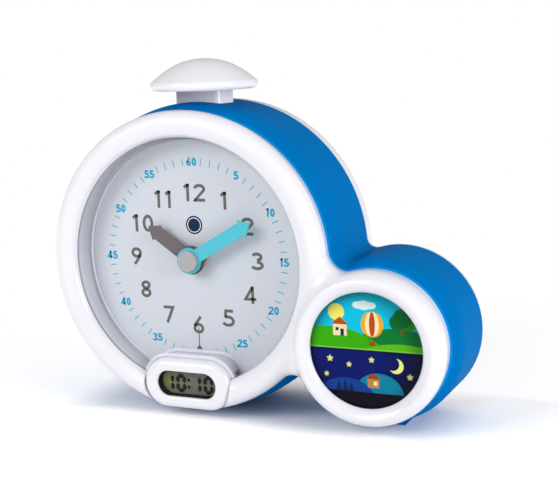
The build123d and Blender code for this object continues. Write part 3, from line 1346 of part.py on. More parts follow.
def speaker_cone():
    """The paper cone with its dust cap and rolled edge."""
    back = SPEAKER_FRONT_Y + CONE_LIFT
    edge_y = SPEAKER_FRONT_Y
    return turned(
        [
            (0, back - CONE_DEPTH + CONE_T),
            (0, back - CONE_DEPTH),
            (DUST_CAP_R, back - CONE_DEPTH - CONE_T),
            (SPEAKER_R - SURROUND, back - 2 * SURROUND_T),
            (SPEAKER_R - SURROUND / 3, edge_y),
            (SPEAKER_R, edge_y),
            (SPEAKER_R, edge_y + SURROUND_T),
            (SPEAKER_R - SURROUND, back),
            (DUST_CAP_R, back - CONE_DEPTH + CONE_T / 6),
        ]
    )


def speaker_magnet():
    """The magnet behind the basket."""
    back = SPEAKER_FRONT_Y - BASKET_DEPTH
    return disc(MAGNET_R, back - MAGNET_T, back, LOBE_DX, LOBE_DZ)


def speaker_screws():
    """Three screws that hold the speaker to the cover's posts."""
    seat = SPEAKER_FRONT_Y - SPEAKER_FLANGE_T
    group = [small_screw(x, z, seat, SMALL_SCREW_L, back=False) for x, z in speaker_screw_places()]
    return Compound(children=group)


SUBPARTS = {
    "front_bezel": front_bezel,
    "main_housing": main_housing,
    "rear_cover": rear_cover,
    "case_screws": case_screws,
    "dial_lens": dial_lens,
    "dial_plate": dial_plate,
    "dial_screws": dial_screws,
    "minute_hand": minute_hand,
    "hour_hand": hour_hand,
    "hub_cap": hub_cap,
    "movement_front": movement_front,
    "movement_back": movement_back,
    "movement_nut": movement_nut,
    "cannon_pinion": cannon_pinion,
    "hour_wheel": hour_wheel,
    "minute_wheel": minute_wheel,
    "set_pinion": set_pinion,
    "set_knob": set_knob,
    "movement_coil": movement_coil,
    "movement_board": movement_board,
    "pod_frame": pod_frame,
    "lcd_window": lcd_window,
    "lcd_holder": lcd_holder,
    "lcd_panel": lcd_panel,
    "lcd_board": lcd_board,
    "night_lens": night_lens,
    "picture_sheet": picture_sheet,
    "light_box": light_box,
    "light_box_screws": light_box_screws,
    "day_led": day_led,
    "night_led": night_led,
    "led_board": led_board,
    "snooze_button": snooze_button,
    "snooze_retainer": snooze_retainer,
    "snooze_screws": snooze_screws,
    "snooze_spring": snooze_spring,
    "snooze_board": snooze_board,
    "snooze_board_screws": snooze_board_screws,
    "snooze_switch": snooze_switch,
    "control_board": control_board,
    "board_screws": board_screws,
    "board_switches": board_switches,
    "mode_switch": mode_switch,
    "mode_switch_body": mode_switch_body,
    "dc_jack": dc_jack,
    "battery_1": lambda: battery(1),
    "battery_2": lambda: battery(2),
    "battery_3": lambda: battery(3),
    "battery_springs": battery_springs,
    "battery_contacts": battery_contacts,
    "battery_door": battery_door,
    "battery_door_screws": battery_door_screws,
    "speaker_frame": speaker_frame,
    "speaker_cone": speaker_cone,
    "speaker_magnet": speaker_magnet,
    "speaker_screws": speaker_screws,
}
for button_name, button_x in zip(BUTTON_NAMES, BUTTON_XS):
    SUBPARTS[button_name] = lambda x=button_x: rear_button(x)


def origin():
    """Under the middle of the clock, on the surface that it stands on."""
    left = -(BIG_R + FLARE)
    right = LOBE_DX + SMALL_R + FLARE
    front = PICTURE_Y - PICTURE_LIP + min(depth for _, depth in SMALL_INNER)
    return ((left + right) / 2, (front + KNOB_BACK_Y) / 2, FLOOR_Z)


def main():
    os.makedirs("parts", exist_ok=True)
    home = Pos(*(-v for v in origin()))
    for name, build in SUBPARTS.items():
        export_step(home * build(), f"parts/{name}.step")


if __name__ == "__main__":
    main()
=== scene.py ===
"""A child's alarm clock with a night light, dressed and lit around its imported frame.

The clock has two lobes in one case: a dial with hands and a small display, and a picture that
lights up from behind. Every class below is one sub-assembly, which makes its own meshes and
dresses its own parts of the frame. Lengths are millimetres until a mesh is made, in metres.
"""

import json
import logging
import math
from collections.abc import Sequence
from dataclasses import dataclass, field
from enum import Enum
from typing import ClassVar

import bmesh
import bpy
from mathutils import Matrix, Vector

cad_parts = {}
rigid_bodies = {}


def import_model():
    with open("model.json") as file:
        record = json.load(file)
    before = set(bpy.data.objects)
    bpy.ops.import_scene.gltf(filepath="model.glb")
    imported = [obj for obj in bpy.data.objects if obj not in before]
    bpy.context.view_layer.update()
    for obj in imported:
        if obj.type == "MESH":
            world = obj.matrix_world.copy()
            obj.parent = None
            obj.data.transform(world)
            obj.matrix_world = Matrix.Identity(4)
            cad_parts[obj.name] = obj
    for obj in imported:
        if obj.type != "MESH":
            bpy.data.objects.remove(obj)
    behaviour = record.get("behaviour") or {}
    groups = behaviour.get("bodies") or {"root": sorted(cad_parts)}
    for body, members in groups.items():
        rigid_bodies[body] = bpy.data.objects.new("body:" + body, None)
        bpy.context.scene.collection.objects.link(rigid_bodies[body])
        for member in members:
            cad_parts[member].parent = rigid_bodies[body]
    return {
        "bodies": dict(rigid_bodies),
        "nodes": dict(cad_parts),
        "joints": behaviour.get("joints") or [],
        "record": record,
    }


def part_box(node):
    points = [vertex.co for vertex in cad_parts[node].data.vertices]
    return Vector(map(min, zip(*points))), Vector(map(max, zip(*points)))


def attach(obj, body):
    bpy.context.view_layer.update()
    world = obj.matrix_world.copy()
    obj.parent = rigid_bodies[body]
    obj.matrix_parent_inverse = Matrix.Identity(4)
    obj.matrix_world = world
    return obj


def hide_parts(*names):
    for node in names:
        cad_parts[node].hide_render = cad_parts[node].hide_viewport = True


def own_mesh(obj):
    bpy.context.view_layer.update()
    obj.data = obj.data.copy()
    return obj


LOG = logging.getLogger("clock")
MM = 0.001
TINY = 1e-6
Point = tuple[float, float]
Place = tuple[float, float, float]
Colour = tuple[float, float, float]


def srgb(red: int, green: int, blue: int) -> Colour:
    """Turn a colour as a screen shows it into linear light.

    Args:
        red, green, blue: The screen's values, from 0 to 255.

    Returns:
        The linear colour.
    """
    return tuple(
        v / 12.92 if v <= 0.04045 else ((v + 0.055) / 1.055) ** 2.4
        for v in (red / 255, green / 255, blue / 255)
    )


# ---- shader graphs ----


class Wire:
    """One number in a material's nodes, written as an ordinary expression."""

    def __init__(self, graph: "Graph", socket: bpy.types.NodeSocket) -> None:
        """Keep the graph and the socket that carries the number."""
        self.graph = graph
        self.socket = socket

    def maths(self, operation: str, *others: "Wire | float") -> "Wire":
        """Apply a Math node to this number and others."""
        return self.graph.maths(operation, self, *others)

    def __add__(self, other: "Wire | float") -> "Wire":
        """Add."""
        return self.maths("ADD", other)

    __radd__ = __add__

    def __sub__(self, other: "Wire | float") -> "Wire":
        """Take away."""
        return self.maths("SUBTRACT", other)

    def __rsub__(self, other: float) -> "Wire":
        """Take this number from another."""
        return self.graph.maths("SUBTRACT", other, self)

    def __mul__(self, other: "Wire | float") -> "Wire":
        """Multiply."""
        return self.maths("MULTIPLY", other)

    __rmul__ = __mul__

    def __truediv__(self, other: "Wire | float") -> "Wire":
        """Divide."""
        return self.maths("DIVIDE", other)

    def __pow__(self, other: float) -> "Wire":
        """Raise to a power."""
        return self.maths("POWER", other)

    def clamped(self) -> "Wire":
        """Keep the number between 0 and 1."""
        return self.maths("MINIMUM", 1.0).maths("MAXIMUM", 0.0)

    def above(self, edge: float, soft: float) -> "Wire":
        """Give 1 where the number is past an edge, with a soft step."""
        return ((self - edge) / soft + 0.5).clamped()

    def size(self) -> "Wire":
        """Drop the number's sign."""
        return self.maths("ABSOLUTE")

    def about(self, middle: float, spread: float) -> "Wire":
        """Spread a number that runs from 0 to 1 evenly about a middle."""
        return self * spread + (middle - spread / 2)


class Graph:
    """The nodes of a material or a world, up to its output."""

    def __init__(self, owner: bpy.types.Material | bpy.types.World, output: str) -> None:
        """Start with nothing but an output.

        Args:
            owner: The material or world.
            output: The output's type, without its ShaderNode prefix.
        """
        owner.use_nodes = True
        self.tree = owner.node_tree
        self.tree.nodes.clear()
        self.output = self.node(output, {}, {})

    def feed(self, socket: bpy.types.NodeSocket, value: object) -> None:
        """Feed a socket.

        Args:
            socket: The socket.
            value: A wire or another socket, which is linked, or a plain value.
        """
        if isinstance(value, Wire):
            value = value.socket
        if isinstance(value, bpy.types.NodeSocket):
            self.tree.links.new(value, socket)
        elif isinstance(value, tuple) and len(socket.default_value) == 4:
            socket.default_value = (*value, 1.0)
        else:
            socket.default_value = value

    def node(self, kind: str, settings: dict[str, object], inputs: dict[object, object]) -> bpy.types.Node:
        """Add a node.

        Args:
            kind: The node's type, without its ShaderNode prefix.
            settings: The node's own settings, which are set first.
            inputs: Values or links of its sockets, by name or number.

        Returns:
            The node.
        """
        node = self.tree.nodes.new("ShaderNode" + kind)
        for key, value in settings.items():
            setattr(node, key, value)
        for key, value in inputs.items():
            self.feed(node.inputs[key], value)
        return node

    def maths(self, operation: str, *values: "Wire | float") -> Wire:
        """Add a Math node and give its result."""
        node = self.node("Math", {"operation": operation}, dict(enumerate(values)))
        return Wire(self, node.outputs[0])

    def mix(self, mask: "Wire | float", low: object, high: object) -> bpy.types.NodeSocket:
        """Mix two colours: low where the mask is 0, high where it is 1."""
        node = self.node("Mix", {"data_type": "RGBA"}, {0: mask, 6: low, 7: high})
        return node.outputs[2]

    def place(self, centre: Place = (0.0, 0.0, 0.0)) -> tuple[Wire, Wire, Wire]:
        """Give the surface's place about a centre.

        Args:
            centre: The centre, in millimetres.

        Returns:
            The place along X, Y and Z, in millimetres.
        """
        coordinates = self.node("TexCoord", {}, {})
        inputs = {0: coordinates.outputs["Object"], 1: tuple(-c for c in centre), 3: (1 / MM,) * 3}
        moved = self.node("Mapping", {}, inputs)
        parts = self.node("SeparateXYZ", {}, {0: moved.outputs[0]})
        return tuple(Wire(self, socket) for socket in parts.outputs)

    def noise(self, scale: float, detail: float = 2.0) -> Wire:
        """Give an even noise.

        Args:
            scale: How many grains it has in a millimetre.
            detail: How many finer noises lie on it.

        Returns:
            The noise, from 0 to 1.
        """
        coordinates = self.node("TexCoord", {}, {})
        inputs = {"Vector": coordinates.outputs["Object"], "Scale": scale / MM, "Detail": detail}
        return Wire(self, self.node("TexNoise", {}, inputs).outputs[0])

    def drawn_out(self, lines: Place) -> Wire:
        """Give a noise that is finer along one axis than another.

        Args:
            lines: How many grains it has in a millimetre of each axis.

        Returns:
            The noise, from 0 to 1.
        """
        coordinates = self.node("TexCoord", {}, {})
        scale = tuple(v / MM for v in lines)
        stretched = self.node("Mapping", {}, {0: coordinates.outputs["Object"], 3: scale})
        noise = self.node("TexNoise", {}, {"Vector": stretched.outputs[0], "Scale": 1.0})
        return Wire(self, noise.outputs[0])


class Surface(Graph):
    """A material's nodes around one Principled shader."""

    def __init__(self, name: str) -> None:
        """Start a material.

        Args:
            name: Its name.
        """
        self.material = bpy.data.materials.new(name)
        super().__init__(self.material, "OutputMaterial")
        self.shader = self.node("BsdfPrincipled", {}, {})
        self.feed(self.output.inputs[0], self.shader.outputs[0])

    def bump(self, height: Wire, distance: float) -> None:
        """Let a height, in millimetres at 1, shape the light on the surface."""
        node = self.node("Bump", {}, {"Strength": 1.0, "Distance": distance * MM, "Height": height})
        self.feed(self.shader.inputs["Normal"], node.outputs[0])

    def set(self, **values: object) -> None:
        """Set or link the shader's sockets, named with underscores."""
        for key, value in values.items():
            self.feed(self.shader.inputs[key.replace("_", " ")], value)


def from_stadium(x: Wire, z: Wire, straight: float, radius: float) -> Wire:
    """Give the distance to an upright stadium's edge, less than 0 inside it.

    Args:
        x, z: The place about the stadium's middle.
        straight: Half the length of its straight sides.
        radius: The radius of its ends.

    Returns:
        The distance, in the caller's units.
    """
    along = (x.size() - straight).maths("MAXIMUM", 0.0)
    return (along * along + z * z).maths("SQRT") - radius


# ---- finishes ----


@dataclass(frozen=True)
class Finish:
    """What a surface is made of. A finish makes its material once."""

    name: str

    def material(self) -> bpy.types.Material:
        """Give the material, made at the first call.

        Returns:
            The material.
        """
        known = bpy.data.materials.get("clock_" + self.name)
        if known:
            return known
        graph = Surface("clock_" + self.name)
        self.make(graph)
        return graph.material

    def make(self, graph: Surface) -> None:
        """Build the material's nodes."""
        raise NotImplementedError


@dataclass(frozen=True)
class Moulded(Finish):
    """Injection moulded plastic, with a faint ripple and slightly uneven gloss."""

    colour: Colour
    roughness: float = 0.18
    coat: float = 0.0
    ripple: float = 0.006
    uneven: float = 0.03
    shine: float = 0.5

    def tone(self, graph: Surface) -> bpy.types.NodeSocket:
        """Give the plastic's colour, very slightly uneven."""
        shade = tuple(c * (1 - self.uneven) for c in self.colour)
        return graph.mix(graph.noise(0.02), self.colour, shade)

    def make(self, graph: Surface) -> None:
        """Build the material's nodes.

        Args:
            graph: The material's nodes.
        """
        graph.set(
            Base_Color=self.tone(graph),
            Roughness=graph.noise(0.6).about(self.roughness, 0.06),
            Specular_IOR_Level=self.shine,
            Coat_Weight=self.coat,
            Coat_Roughness=0.06,
        )
        graph.bump(graph.noise(0.12, 1.0), self.ripple)


@dataclass(frozen=True)
class BezelPlasticPaintedShade(Moulded):
    """The front moulding's white plastic, with grey painted shade on the wall that runs round the dial.

    Attributes:
        axis: The dial axis in X and Z, with the depth of the opening's edge between them.
        opening: The wall's radius.
        wall: The wall's colour, a painted shade.
        top: Its colour at the top, a darker painted shade.
        edge: Its colour along the opening's edge, a darker painted shade.
        line: How far back that painted shade along the edge reaches.
        lap: How far past the wall's radius the painted grey shade reaches.
    """

    axis: Place = (0.0, 0.0, 0.0)
    opening: float = 65.4
    wall: Colour = srgb(206, 207, 214)
    top: Colour = srgb(166, 167, 175)
    edge: Colour = srgb(150, 150, 158)
    line: float = 1.3
    lap: float = 0.15

    def tone(self, graph: Surface) -> bpy.types.NodeSocket:
        """Give the white, or the painted grey shade up to the opening's edge.

        Args:
            graph: The material's nodes.

        Returns:
            The colour.
        """
        x, y, z = graph.place(self.axis)
        outside = (x * x + z * z).maths("SQRT").above(self.opening + self.lap, 0.2)
        # Painted shade: grey on the wall, darker towards the top and along the opening's edge.
        wall = graph.mix(z.above(self.opening / 3, self.opening), self.wall, self.top)
        wall = graph.mix(y.above(self.line, 0.6), self.edge, wall)
        return graph.mix(outside, wall, super().tone(graph))


@dataclass(frozen=True)
class ButtonPlasticPaintedShade(Moulded):
    """The snooze button's white plastic, with painted shade on its stem, darker towards one side.

    Attributes:
        middle: The button's middle in X, and the height of the dome's underside.
        shade: The stem's darkest painted shade.
        lit_from: Where along X the painted shade is halfway gone.
        lit_over: The width over which it goes.
    """

    middle: Point = (0.0, 0.0)
    shade: Colour = srgb(158, 158, 174)
    lit_from: float = -3.0
    lit_over: float = 22.0

    def tone(self, graph: Surface) -> bpy.types.NodeSocket:
        """Give the dome's white, or the stem's painted shade below it.

        Args:
            graph: The material's nodes.

        Returns:
            The colour.
        """
        x, _, z = graph.place((self.middle[0], 0.0, self.middle[1]))
        # Painted shade: below the dome the stem darkens towards one side.
        lit = z.above(-0.1, 0.1).maths("MAXIMUM", x.above(self.lit_from, self.lit_over))
        return graph.mix(lit, self.shade, super().tone(graph))


@dataclass(frozen=True)
class SleevePlasticPaintedHighlight(Moulded):
    """The housing's blue plastic, with a painted highlight along the front edge that meets the bezel.

    Attributes:
        joint: Depth of the joint.
        lip_highlight: The painted highlight's colour.
        lip_highlight_width: How far the painted highlight reaches back.
    """

    joint: float = 0.0
    lip_highlight: Colour = srgb(0, 132, 208)
    lip_highlight_width: float = 0.8

    def tone(self, graph: Surface) -> bpy.types.NodeSocket:
        """Give the blue, or the painted highlight's brighter blue at the front edge."""
        _, back, _ = graph.place((0.0, self.joint, 0.0))
        # Painted highlight: a brighter blue along the front edge at the joint.
        return graph.mix(back.above(self.lip_highlight_width, 0.5), self.lip_highlight, super().tone(graph))


@dataclass(frozen=True)
class Grained(Finish):
    """Matt plastic or rubber with a spark-eroded grain."""

    colour: Colour
    roughness: float = 0.5
    grain: float = 0.02

    def make(self, graph: Surface) -> None:
        """Build the material's nodes.

        Args:
            graph: The material's nodes.
        """
        speck = graph.noise(3.0, 3.0)
        dark = tuple(c * 0.86 for c in self.colour)
        graph.set(Base_Color=graph.mix(speck, dark, self.colour), Roughness=speck.about(self.roughness, 0.12))
        graph.bump(speck, self.grain)


@dataclass(frozen=True)
class Clear(Finish):
    """Clear plastic, nearly unseen from the front and milky where a wall is seen edge on.

    Attributes:
        haze: The colour of what little it hides.
        least: How much it hides when seen from the front.
        most: How much more it hides when seen edge on.
    """

    haze: Colour = srgb(226, 228, 236)
    least: float = 0.004
    most: float = 0.9

    def make(self, graph: Surface) -> None:
        """Build the material's nodes.

        Args:
            graph: The material's nodes.
        """
        passing = 1 - Wire(graph, graph.node("LightPath", {}, {}).outputs["Is Shadow Ray"])
        cover = self.cover(graph).clamped() * passing
        graph.set(Base_Color=self.haze, Roughness=graph.noise(0.3).about(0.06, 0.02), Alpha=cover)

    def cover(self, graph: Surface) -> Wire:
        """Give how much it hides."""
        edge_on = Wire(graph, graph.node("LayerWeight", {}, {"Blend": 0.5}).outputs["Facing"])
        return edge_on ** 3.0 * self.most + self.least


@dataclass(frozen=True)
class Tray(Clear):
    """The dial's clear tray, milky round the pod, with a painted highlight in milky white along its arch's
    front edge.

    Attributes:
        axis: The dial axis in X and Z, with the depth of the tray's front between them.
        straight: Half the straight length of the arch's hollow.
        radius: The radius of its ends.
        below: How far its middle lies below the axis.
        wall: The arch's wall.
        foot: How far behind the front the foot begins.
        edge: How far back the painted highlight on the arch's front edge reaches.
        milk_and_highlight: How much the arch, its front edge and the foot hide; along the front edge the
            milky white is a painted highlight.
    """

    axis: Place = (0.0, 0.0, 0.0)
    straight: float = 12.1
    radius: float = 13.9
    below: float = 64.8
    wall: float = 1.6
    foot: float = 11.2
    edge: float = 0.7
    milk_and_highlight: Place = (0.12, 0.6, 0.85)

    def cover(self, graph: Surface) -> Wire:
        """Give how much it hides.

        Args:
            graph: The material's nodes.

        Returns:
            The share that it hides.
        """
        x, y, z = graph.place(self.axis)
        arch = 1 - from_stadium(x, z + self.below, self.straight, self.radius).above(self.wall, 0.2)
        # The arch's front edge hides most: a painted highlight in milky white.
        edge = arch * (1 - y.above(self.edge, 0.4))
        foot = y.above(self.foot - 0.2, 0.2)
        return super().cover(graph) + arch * self.milk_and_highlight[0] + edge * self.milk_and_highlight[1] + foot * self.milk_and_highlight[2]


@dataclass(frozen=True)
class Metal(Finish):
    """Bare metal with fine lines along one axis."""

    colour: Colour
    roughness: float = 0.325
    lines: Place = (0.3, 0.3, 6.0)

    def make(self, graph: Surface) -> None:
        """Build the material's nodes.

        Args:
            graph: The material's nodes.
        """
        grain = graph.drawn_out(self.lines)
        dark = tuple(c * 0.8 for c in self.colour)
        graph.set(
            Base_Color=graph.mix(grain, dark, self.colour),
            Metallic=1.0,
            Roughness=grain.about(self.roughness, 0.15),
        )
        graph.bump(grain, 0.01)


@dataclass(frozen=True)
class Painted(Finish):
    """Satin paint on thin metal."""

    colour: Colour
    roughness: float = 0.4

    def make(self, graph: Surface) -> None:
        """Build the material's nodes.

        Args:
            graph: The material's nodes.
        """
        cloud = graph.noise(0.15, 3.0)
        light = tuple(min(1.0, c * 1.06 + 0.004) for c in self.colour)
        graph.set(Base_Color=graph.mix(cloud, self.colour, light), Roughness=cloud.about(self.roughness, 0.1))
        graph.bump(graph.noise(1.5, 2.0), 0.008)


@dataclass(frozen=True)
class DialSheet(Finish):
    """The silvery sheet of the dial, finely brushed upright."""

    colour: Colour
    roughness: float = 0.47
    lines: Place = (5.0, 1.0, 0.12)

    def make(self, graph: Surface) -> None:
        """Build the material's nodes.

        Args:
            graph: The material's nodes.
        """
        grain = graph.drawn_out(self.lines)
        dark = tuple(c * 0.93 for c in self.colour)
        graph.set(Base_Color=graph.mix(grain, dark, self.colour), Roughness=grain.about(self.roughness, 0.1))
        graph.bump(grain, 0.004)


@dataclass(frozen=True)
class Board(Finish):
    """A circuit board: green mask over copper tracks on a grid."""

    def make(self, graph: Surface) -> None:
        """Build the material's nodes.

        Args:
            graph: The material's nodes.
        """
        x, y, z = graph.place()
        rows = ((z + y * 0.5) * 0.8).maths("FRACT")
        runs = graph.noise(0.08, 0.0).above(0.5, 0.02)
        track = (rows - 0.5).size().above(0.28, 0.06) * runs
        columns = (x * 0.4).maths("FRACT")
        pads = (columns - 0.5).size().above(0.42, 0.04) * (rows - 0.5).size().above(0.4, 0.05)
        mask = graph.mix(track, srgb(14, 70, 38), srgb(34, 104, 56))
        graph.set(
            Base_Color=graph.mix(pads * (1 - runs), mask, srgb(196, 190, 170)),
            Roughness=track * 0.1 + 0.3,
        )
        graph.bump(track, 0.04)


class Head(Enum):
    """Which way a cell's head points along X."""

    RIGHT = 1
    LEFT = -1


@dataclass(frozen=True)
class CellJacket(Finish):
    """A plain AA cell: a dark jacket with a copper band at its head and bare metal at both ends.

    Attributes:
        middle: The jacket's middle along X.
        head: Which way its head points.
        band: How far from the middle, towards the head, the band begins.
        cap: How far from it the bare cap begins.
        foot: How far from it, the other way, the bare foot begins.
    """

    middle: float
    head: Head
    band: float = 10.0
    cap: float = 23.6
    foot: float = 24.6

    def make(self, graph: Surface) -> None:
        """Build the material's nodes.

        Args:
            graph: The material's nodes.
        """
        along = graph.place((self.middle, 0.0, 0.0))[0] * float(self.head.value)
        band = along.above(self.band, 0.1)
        bare = along.above(self.cap, 0.1).maths("MAXIMUM", 1 - along.above(-self.foot, 0.1))
        colour = graph.mix(band, srgb(30, 32, 36), srgb(176, 112, 62))
        graph.set(
            Base_Color=graph.mix(bare, colour, srgb(200, 200, 200)),
            Metallic=band * 0.5 + bare * 0.5,
            Roughness=0.34 - band * 0.06,
        )


@dataclass(frozen=True)
class DisplayGlass(Finish):
    """The display's olive grey face in a black border, with a dim glow from its left end.

    Attributes:
        centre: The face's middle.
        glow_at: Where the glow's middle lies along X.
        glow_reach: How far it reaches, across and up.
        shown: Half the straight length and the radius of the stadium inside the border.
        glow, face, border: The colours.
    """

    centre: Place
    glow_at: float = -15.0
    glow_reach: Point = (7.0, 6.0)
    shown: Point = (10.3, 6.6)
    glow: Colour = srgb(134, 146, 66)
    face: Colour = srgb(104, 108, 90)
    border: Colour = srgb(8, 9, 9)

    def make(self, graph: Surface) -> None:
        """Build the material's nodes.

        Args:
            graph: The material's nodes.
        """
        x, _, z = graph.place(self.centre)
        across, up = (x - self.glow_at) / self.glow_reach[0], z / self.glow_reach[1]
        distance = (across ** 2.0 + up ** 2.0).maths("SQRT")
        tone = graph.mix(distance.clamped(), self.glow, self.face)
        tone = graph.mix(from_stadium(x, z, *self.shown).above(0.0, 0.2), tone, self.border)
        graph.set(Base_Color=tone, Roughness=graph.noise(2.0).about(0.325, 0.05), Specular_IOR_Level=0.12)


@dataclass(frozen=True)
class Ink(Finish):
    """Printing ink, very slightly uneven."""

    colour: Colour

    def make(self, graph: Surface) -> None:
        """Build the material's nodes.

        Args:
            graph: The material's nodes.
        """
        worn = graph.noise(1.2, 3.0)
        light = tuple(min(1.0, c * 1.1 + 0.01) for c in self.colour)
        tone = graph.mix(worn, self.colour, light)
        graph.set(Base_Color=tone, Roughness=worn.about(0.48, 0.08), Specular_IOR_Level=0.04)


class Scenery:
    """Flat shapes, in millimetres about the picture's middle, painted one over another."""

    EDGE = 0.12

    def __init__(self, graph: Surface, centre: Place) -> None:
        """Start with nothing painted.

        Args:
            graph: The picture's material.
            centre: The picture's middle.
        """
        self.graph = graph
        self.x, _, self.z = graph.place(centre)
        self.colour: object = srgb(0, 0, 0)

    def paint(self, mask: Wire, colour: object) -> None:
        """Lay a colour over what is painted, where the mask is 1."""
        self.colour = self.graph.mix(mask, self.colour, colour)

    def oval(self, x: float, z: float, wide: float, high: float, edge: float = EDGE) -> Wire:
        """Give the mask of an ellipse.

        Args:
            x, z: Its middle.
            wide, high: Half its width and height.
            edge: How soft its edge is.

        Returns:
            The mask, 1 inside.
        """
        across, up = (self.x - x) / wide, (self.z - z) / high
        radius = (across * across + up * up).maths("SQRT")
        return (1 - radius).above(0.0, edge / min(wide, high))

    def block(self, x: float, z: float, wide: float, high: float) -> Wire:
        """Give the mask of a rectangle, by its middle and half its width and height."""
        across = (wide - (self.x - x).size()).above(0.0, self.EDGE)
        return across * (high - (self.z - z).size()).above(0.0, self.EDGE)

    def roof(self, x: float, z: float, wide: float, high: float) -> Wire:
        """Give the mask of an upright triangle.

        Args:
            x, z: The middle of its base.
            wide, high: Half its width, and its height.

        Returns:
            The mask, 1 inside.
        """
        climb = (self.z - z) / high
        inside = (wide * (1 - climb) - (self.x - x).size()).above(0.0, self.EDGE)
        return inside * climb.above(0.0, self.EDGE / high)

    def star(self, x: float, z: float, radius: float) -> Wire:
        """Give the mask of a round-armed star with five points.

        Args:
            x, z: Its middle.
            radius: How far its points reach.

        Returns:
            The mask, 1 inside.
        """
        across, up = self.x - x, self.z - z
        turn = across.maths("ARCTAN2", up)
        arms = (turn * 5.0).maths("COSINE") * 0.3 + 0.7
        distance = (across * across + up * up).maths("SQRT")
        return (arms * radius - distance).above(0.0, self.EDGE)


@dataclass(frozen=True)
class DayAndNight(Finish):
    """The round picture: a bright landscape above, a night one below, with painted shade towards its rim and
    a faint painted glow.

    Attributes:
        centre: The picture's middle.
        rim: The radius, about a point 3 mm below and left of the middle, past which painted shade darkens the
            print.
    """

    centre: Place
    rim: float = 23.5

    def make(self, graph: Surface) -> None:
        """Build the material's nodes.

        Args:
            graph: The material's nodes.
        """
        art = Scenery(graph, self.centre)
        self.day(art)
        self.night(art)
        # Painted shade of the recess, darkening the print towards its rim.
        left = ((art.x + 3.0) ** 2.0 + (art.z + 3.0) ** 2.0).maths("SQRT").above(self.rim + 3.0, 7.0)
        art.paint(left * 0.45, srgb(0, 16, 24))
        # The faint emission over the whole print is a painted glow.
        graph.set(
            Base_Color=art.colour, Roughness=0.5, Specular_IOR_Level=0.06,
            Emission_Color=art.colour, Emission_Strength=0.1,
        )

    def day(self, art: Scenery) -> None:
        """Paint sky, sun, cloud, hills, a tree, a cottage and a balloon.

        Args:
            art: What is painted on.
        """
        art.colour = art.graph.mix(art.oval(1.0, 12.0, 26.0, 16.0, 8.0), srgb(0, 140, 160), srgb(0, 178, 206))
        art.paint(art.oval(-15.6, 18.4, 4.2, 4.2), srgb(226, 214, 96))
        for x, size in ((-4.0, 3.0), (-1.0, 3.8), (2.4, 2.8)):
            art.paint(art.oval(x, 22.4, size, size * 0.62), srgb(206, 224, 222))
        art.paint(art.oval(16.0, -14.0, 34.0, 25.6), srgb(0, 112, 42))
        art.paint(art.block(18.4, 11.4, 0.6, 2.6), srgb(120, 62, 14))
        for x, z, size in ((21.6, 15.4, 4.6), (15.8, 14.8, 4.0), (18.6, 17.0, 4.8)):
            art.paint(art.oval(x, z, size, size), srgb(26, 136, 14) if x > 20.0 else srgb(0, 104, 34))
        art.paint(art.oval(-19.0, -16.0, 36.0, 27.0), srgb(52, 158, 0))
        art.paint(art.oval(18.0, -22.0, 40.0, 26.0) * (1 - art.z.above(6.0, 0.2)), srgb(84, 172, 14))
        art.paint(art.block(-13.8, 9.4, 3.6, 2.9), srgb(224, 206, 160))
        art.paint(art.roof(-13.8, 12.2, 4.8, 3.8), srgb(168, 72, 14))
        art.paint(art.block(-12.6, 8.2, 0.9, 1.8), srgb(10, 44, 84))
        art.paint(art.block(-15.2, 9.8, 0.8, 0.8), srgb(10, 44, 84))
        art.paint(art.oval(3.0, 13.0, 5.8, 6.4), srgb(226, 156, 8))
        art.paint(art.oval(3.0, 13.0, 3.6, 6.3), srgb(222, 216, 176))
        art.paint(art.oval(3.0, 13.0, 1.5, 6.3), srgb(176, 70, 12))
        for x in (1.6, 4.4):
            art.paint(art.block(x, 5.8, 0.14, 1.7), srgb(70, 44, 20))
        art.paint(art.block(3.0, 3.4, 1.6, 1.2), srgb(132, 72, 20))
        art.paint(art.block(0.0, 0.2, 30.0, 0.45), srgb(112, 190, 62))

    def night(self, art: Scenery) -> None:
        """Paint the night over the lower half: moon, stars, hills, a cabin and dark ground.

        Args:
            art: What is painted on.
        """
        below = 1 - art.z.above(0.0, art.EDGE)
        glow = art.oval(-8.0, -4.0, 26.0, 16.0, 12.0)
        art.paint(below, art.graph.mix(glow, srgb(0, 4, 40), srgb(0, 16, 94)))
        art.paint(1 - (art.z + 0.3).size().above(0.3, 0.2), srgb(4, 10, 16))
        art.paint(art.oval(15.0, -7.0, 3.8, 3.8) * (1 - art.oval(13.2, -6.0, 3.4, 3.4)), srgb(220, 222, 122))
        for x, z, size in (
            (-19.4, -5.4, 1.8), (-9.4, -7.8, 1.5), (2.4, -4.8, 1.6), (22.0, -12.0, 1.7), (-21.4, -13.4, 1.4),
        ):
            art.paint(art.star(x, z, size), srgb(214, 216, 118))
        art.paint(art.oval(6.0, -23.0, 13.0, 11.6) * below, srgb(0, 118, 148))
        art.paint(art.oval(-11.0, -25.0, 15.0, 10.4) * below, srgb(8, 56, 132))
        art.paint(art.block(3.2, -16.6, 3.0, 2.3), srgb(170, 126, 74))
        art.paint(art.roof(3.2, -14.4, 4.2, 3.0), srgb(150, 60, 12))
        art.paint(art.block(4.2, -16.6, 0.9, 1.0), srgb(232, 220, 120))
        for x, high in ((-15.0, 5.0), (-11.6, 6.4), (-8.4, 4.6)):
            art.paint(art.roof(x, -21.6, 1.7, high), srgb(4, 34, 70))
        art.paint(1 - art.z.above(-21.4, art.EDGE), srgb(8, 2, 20))


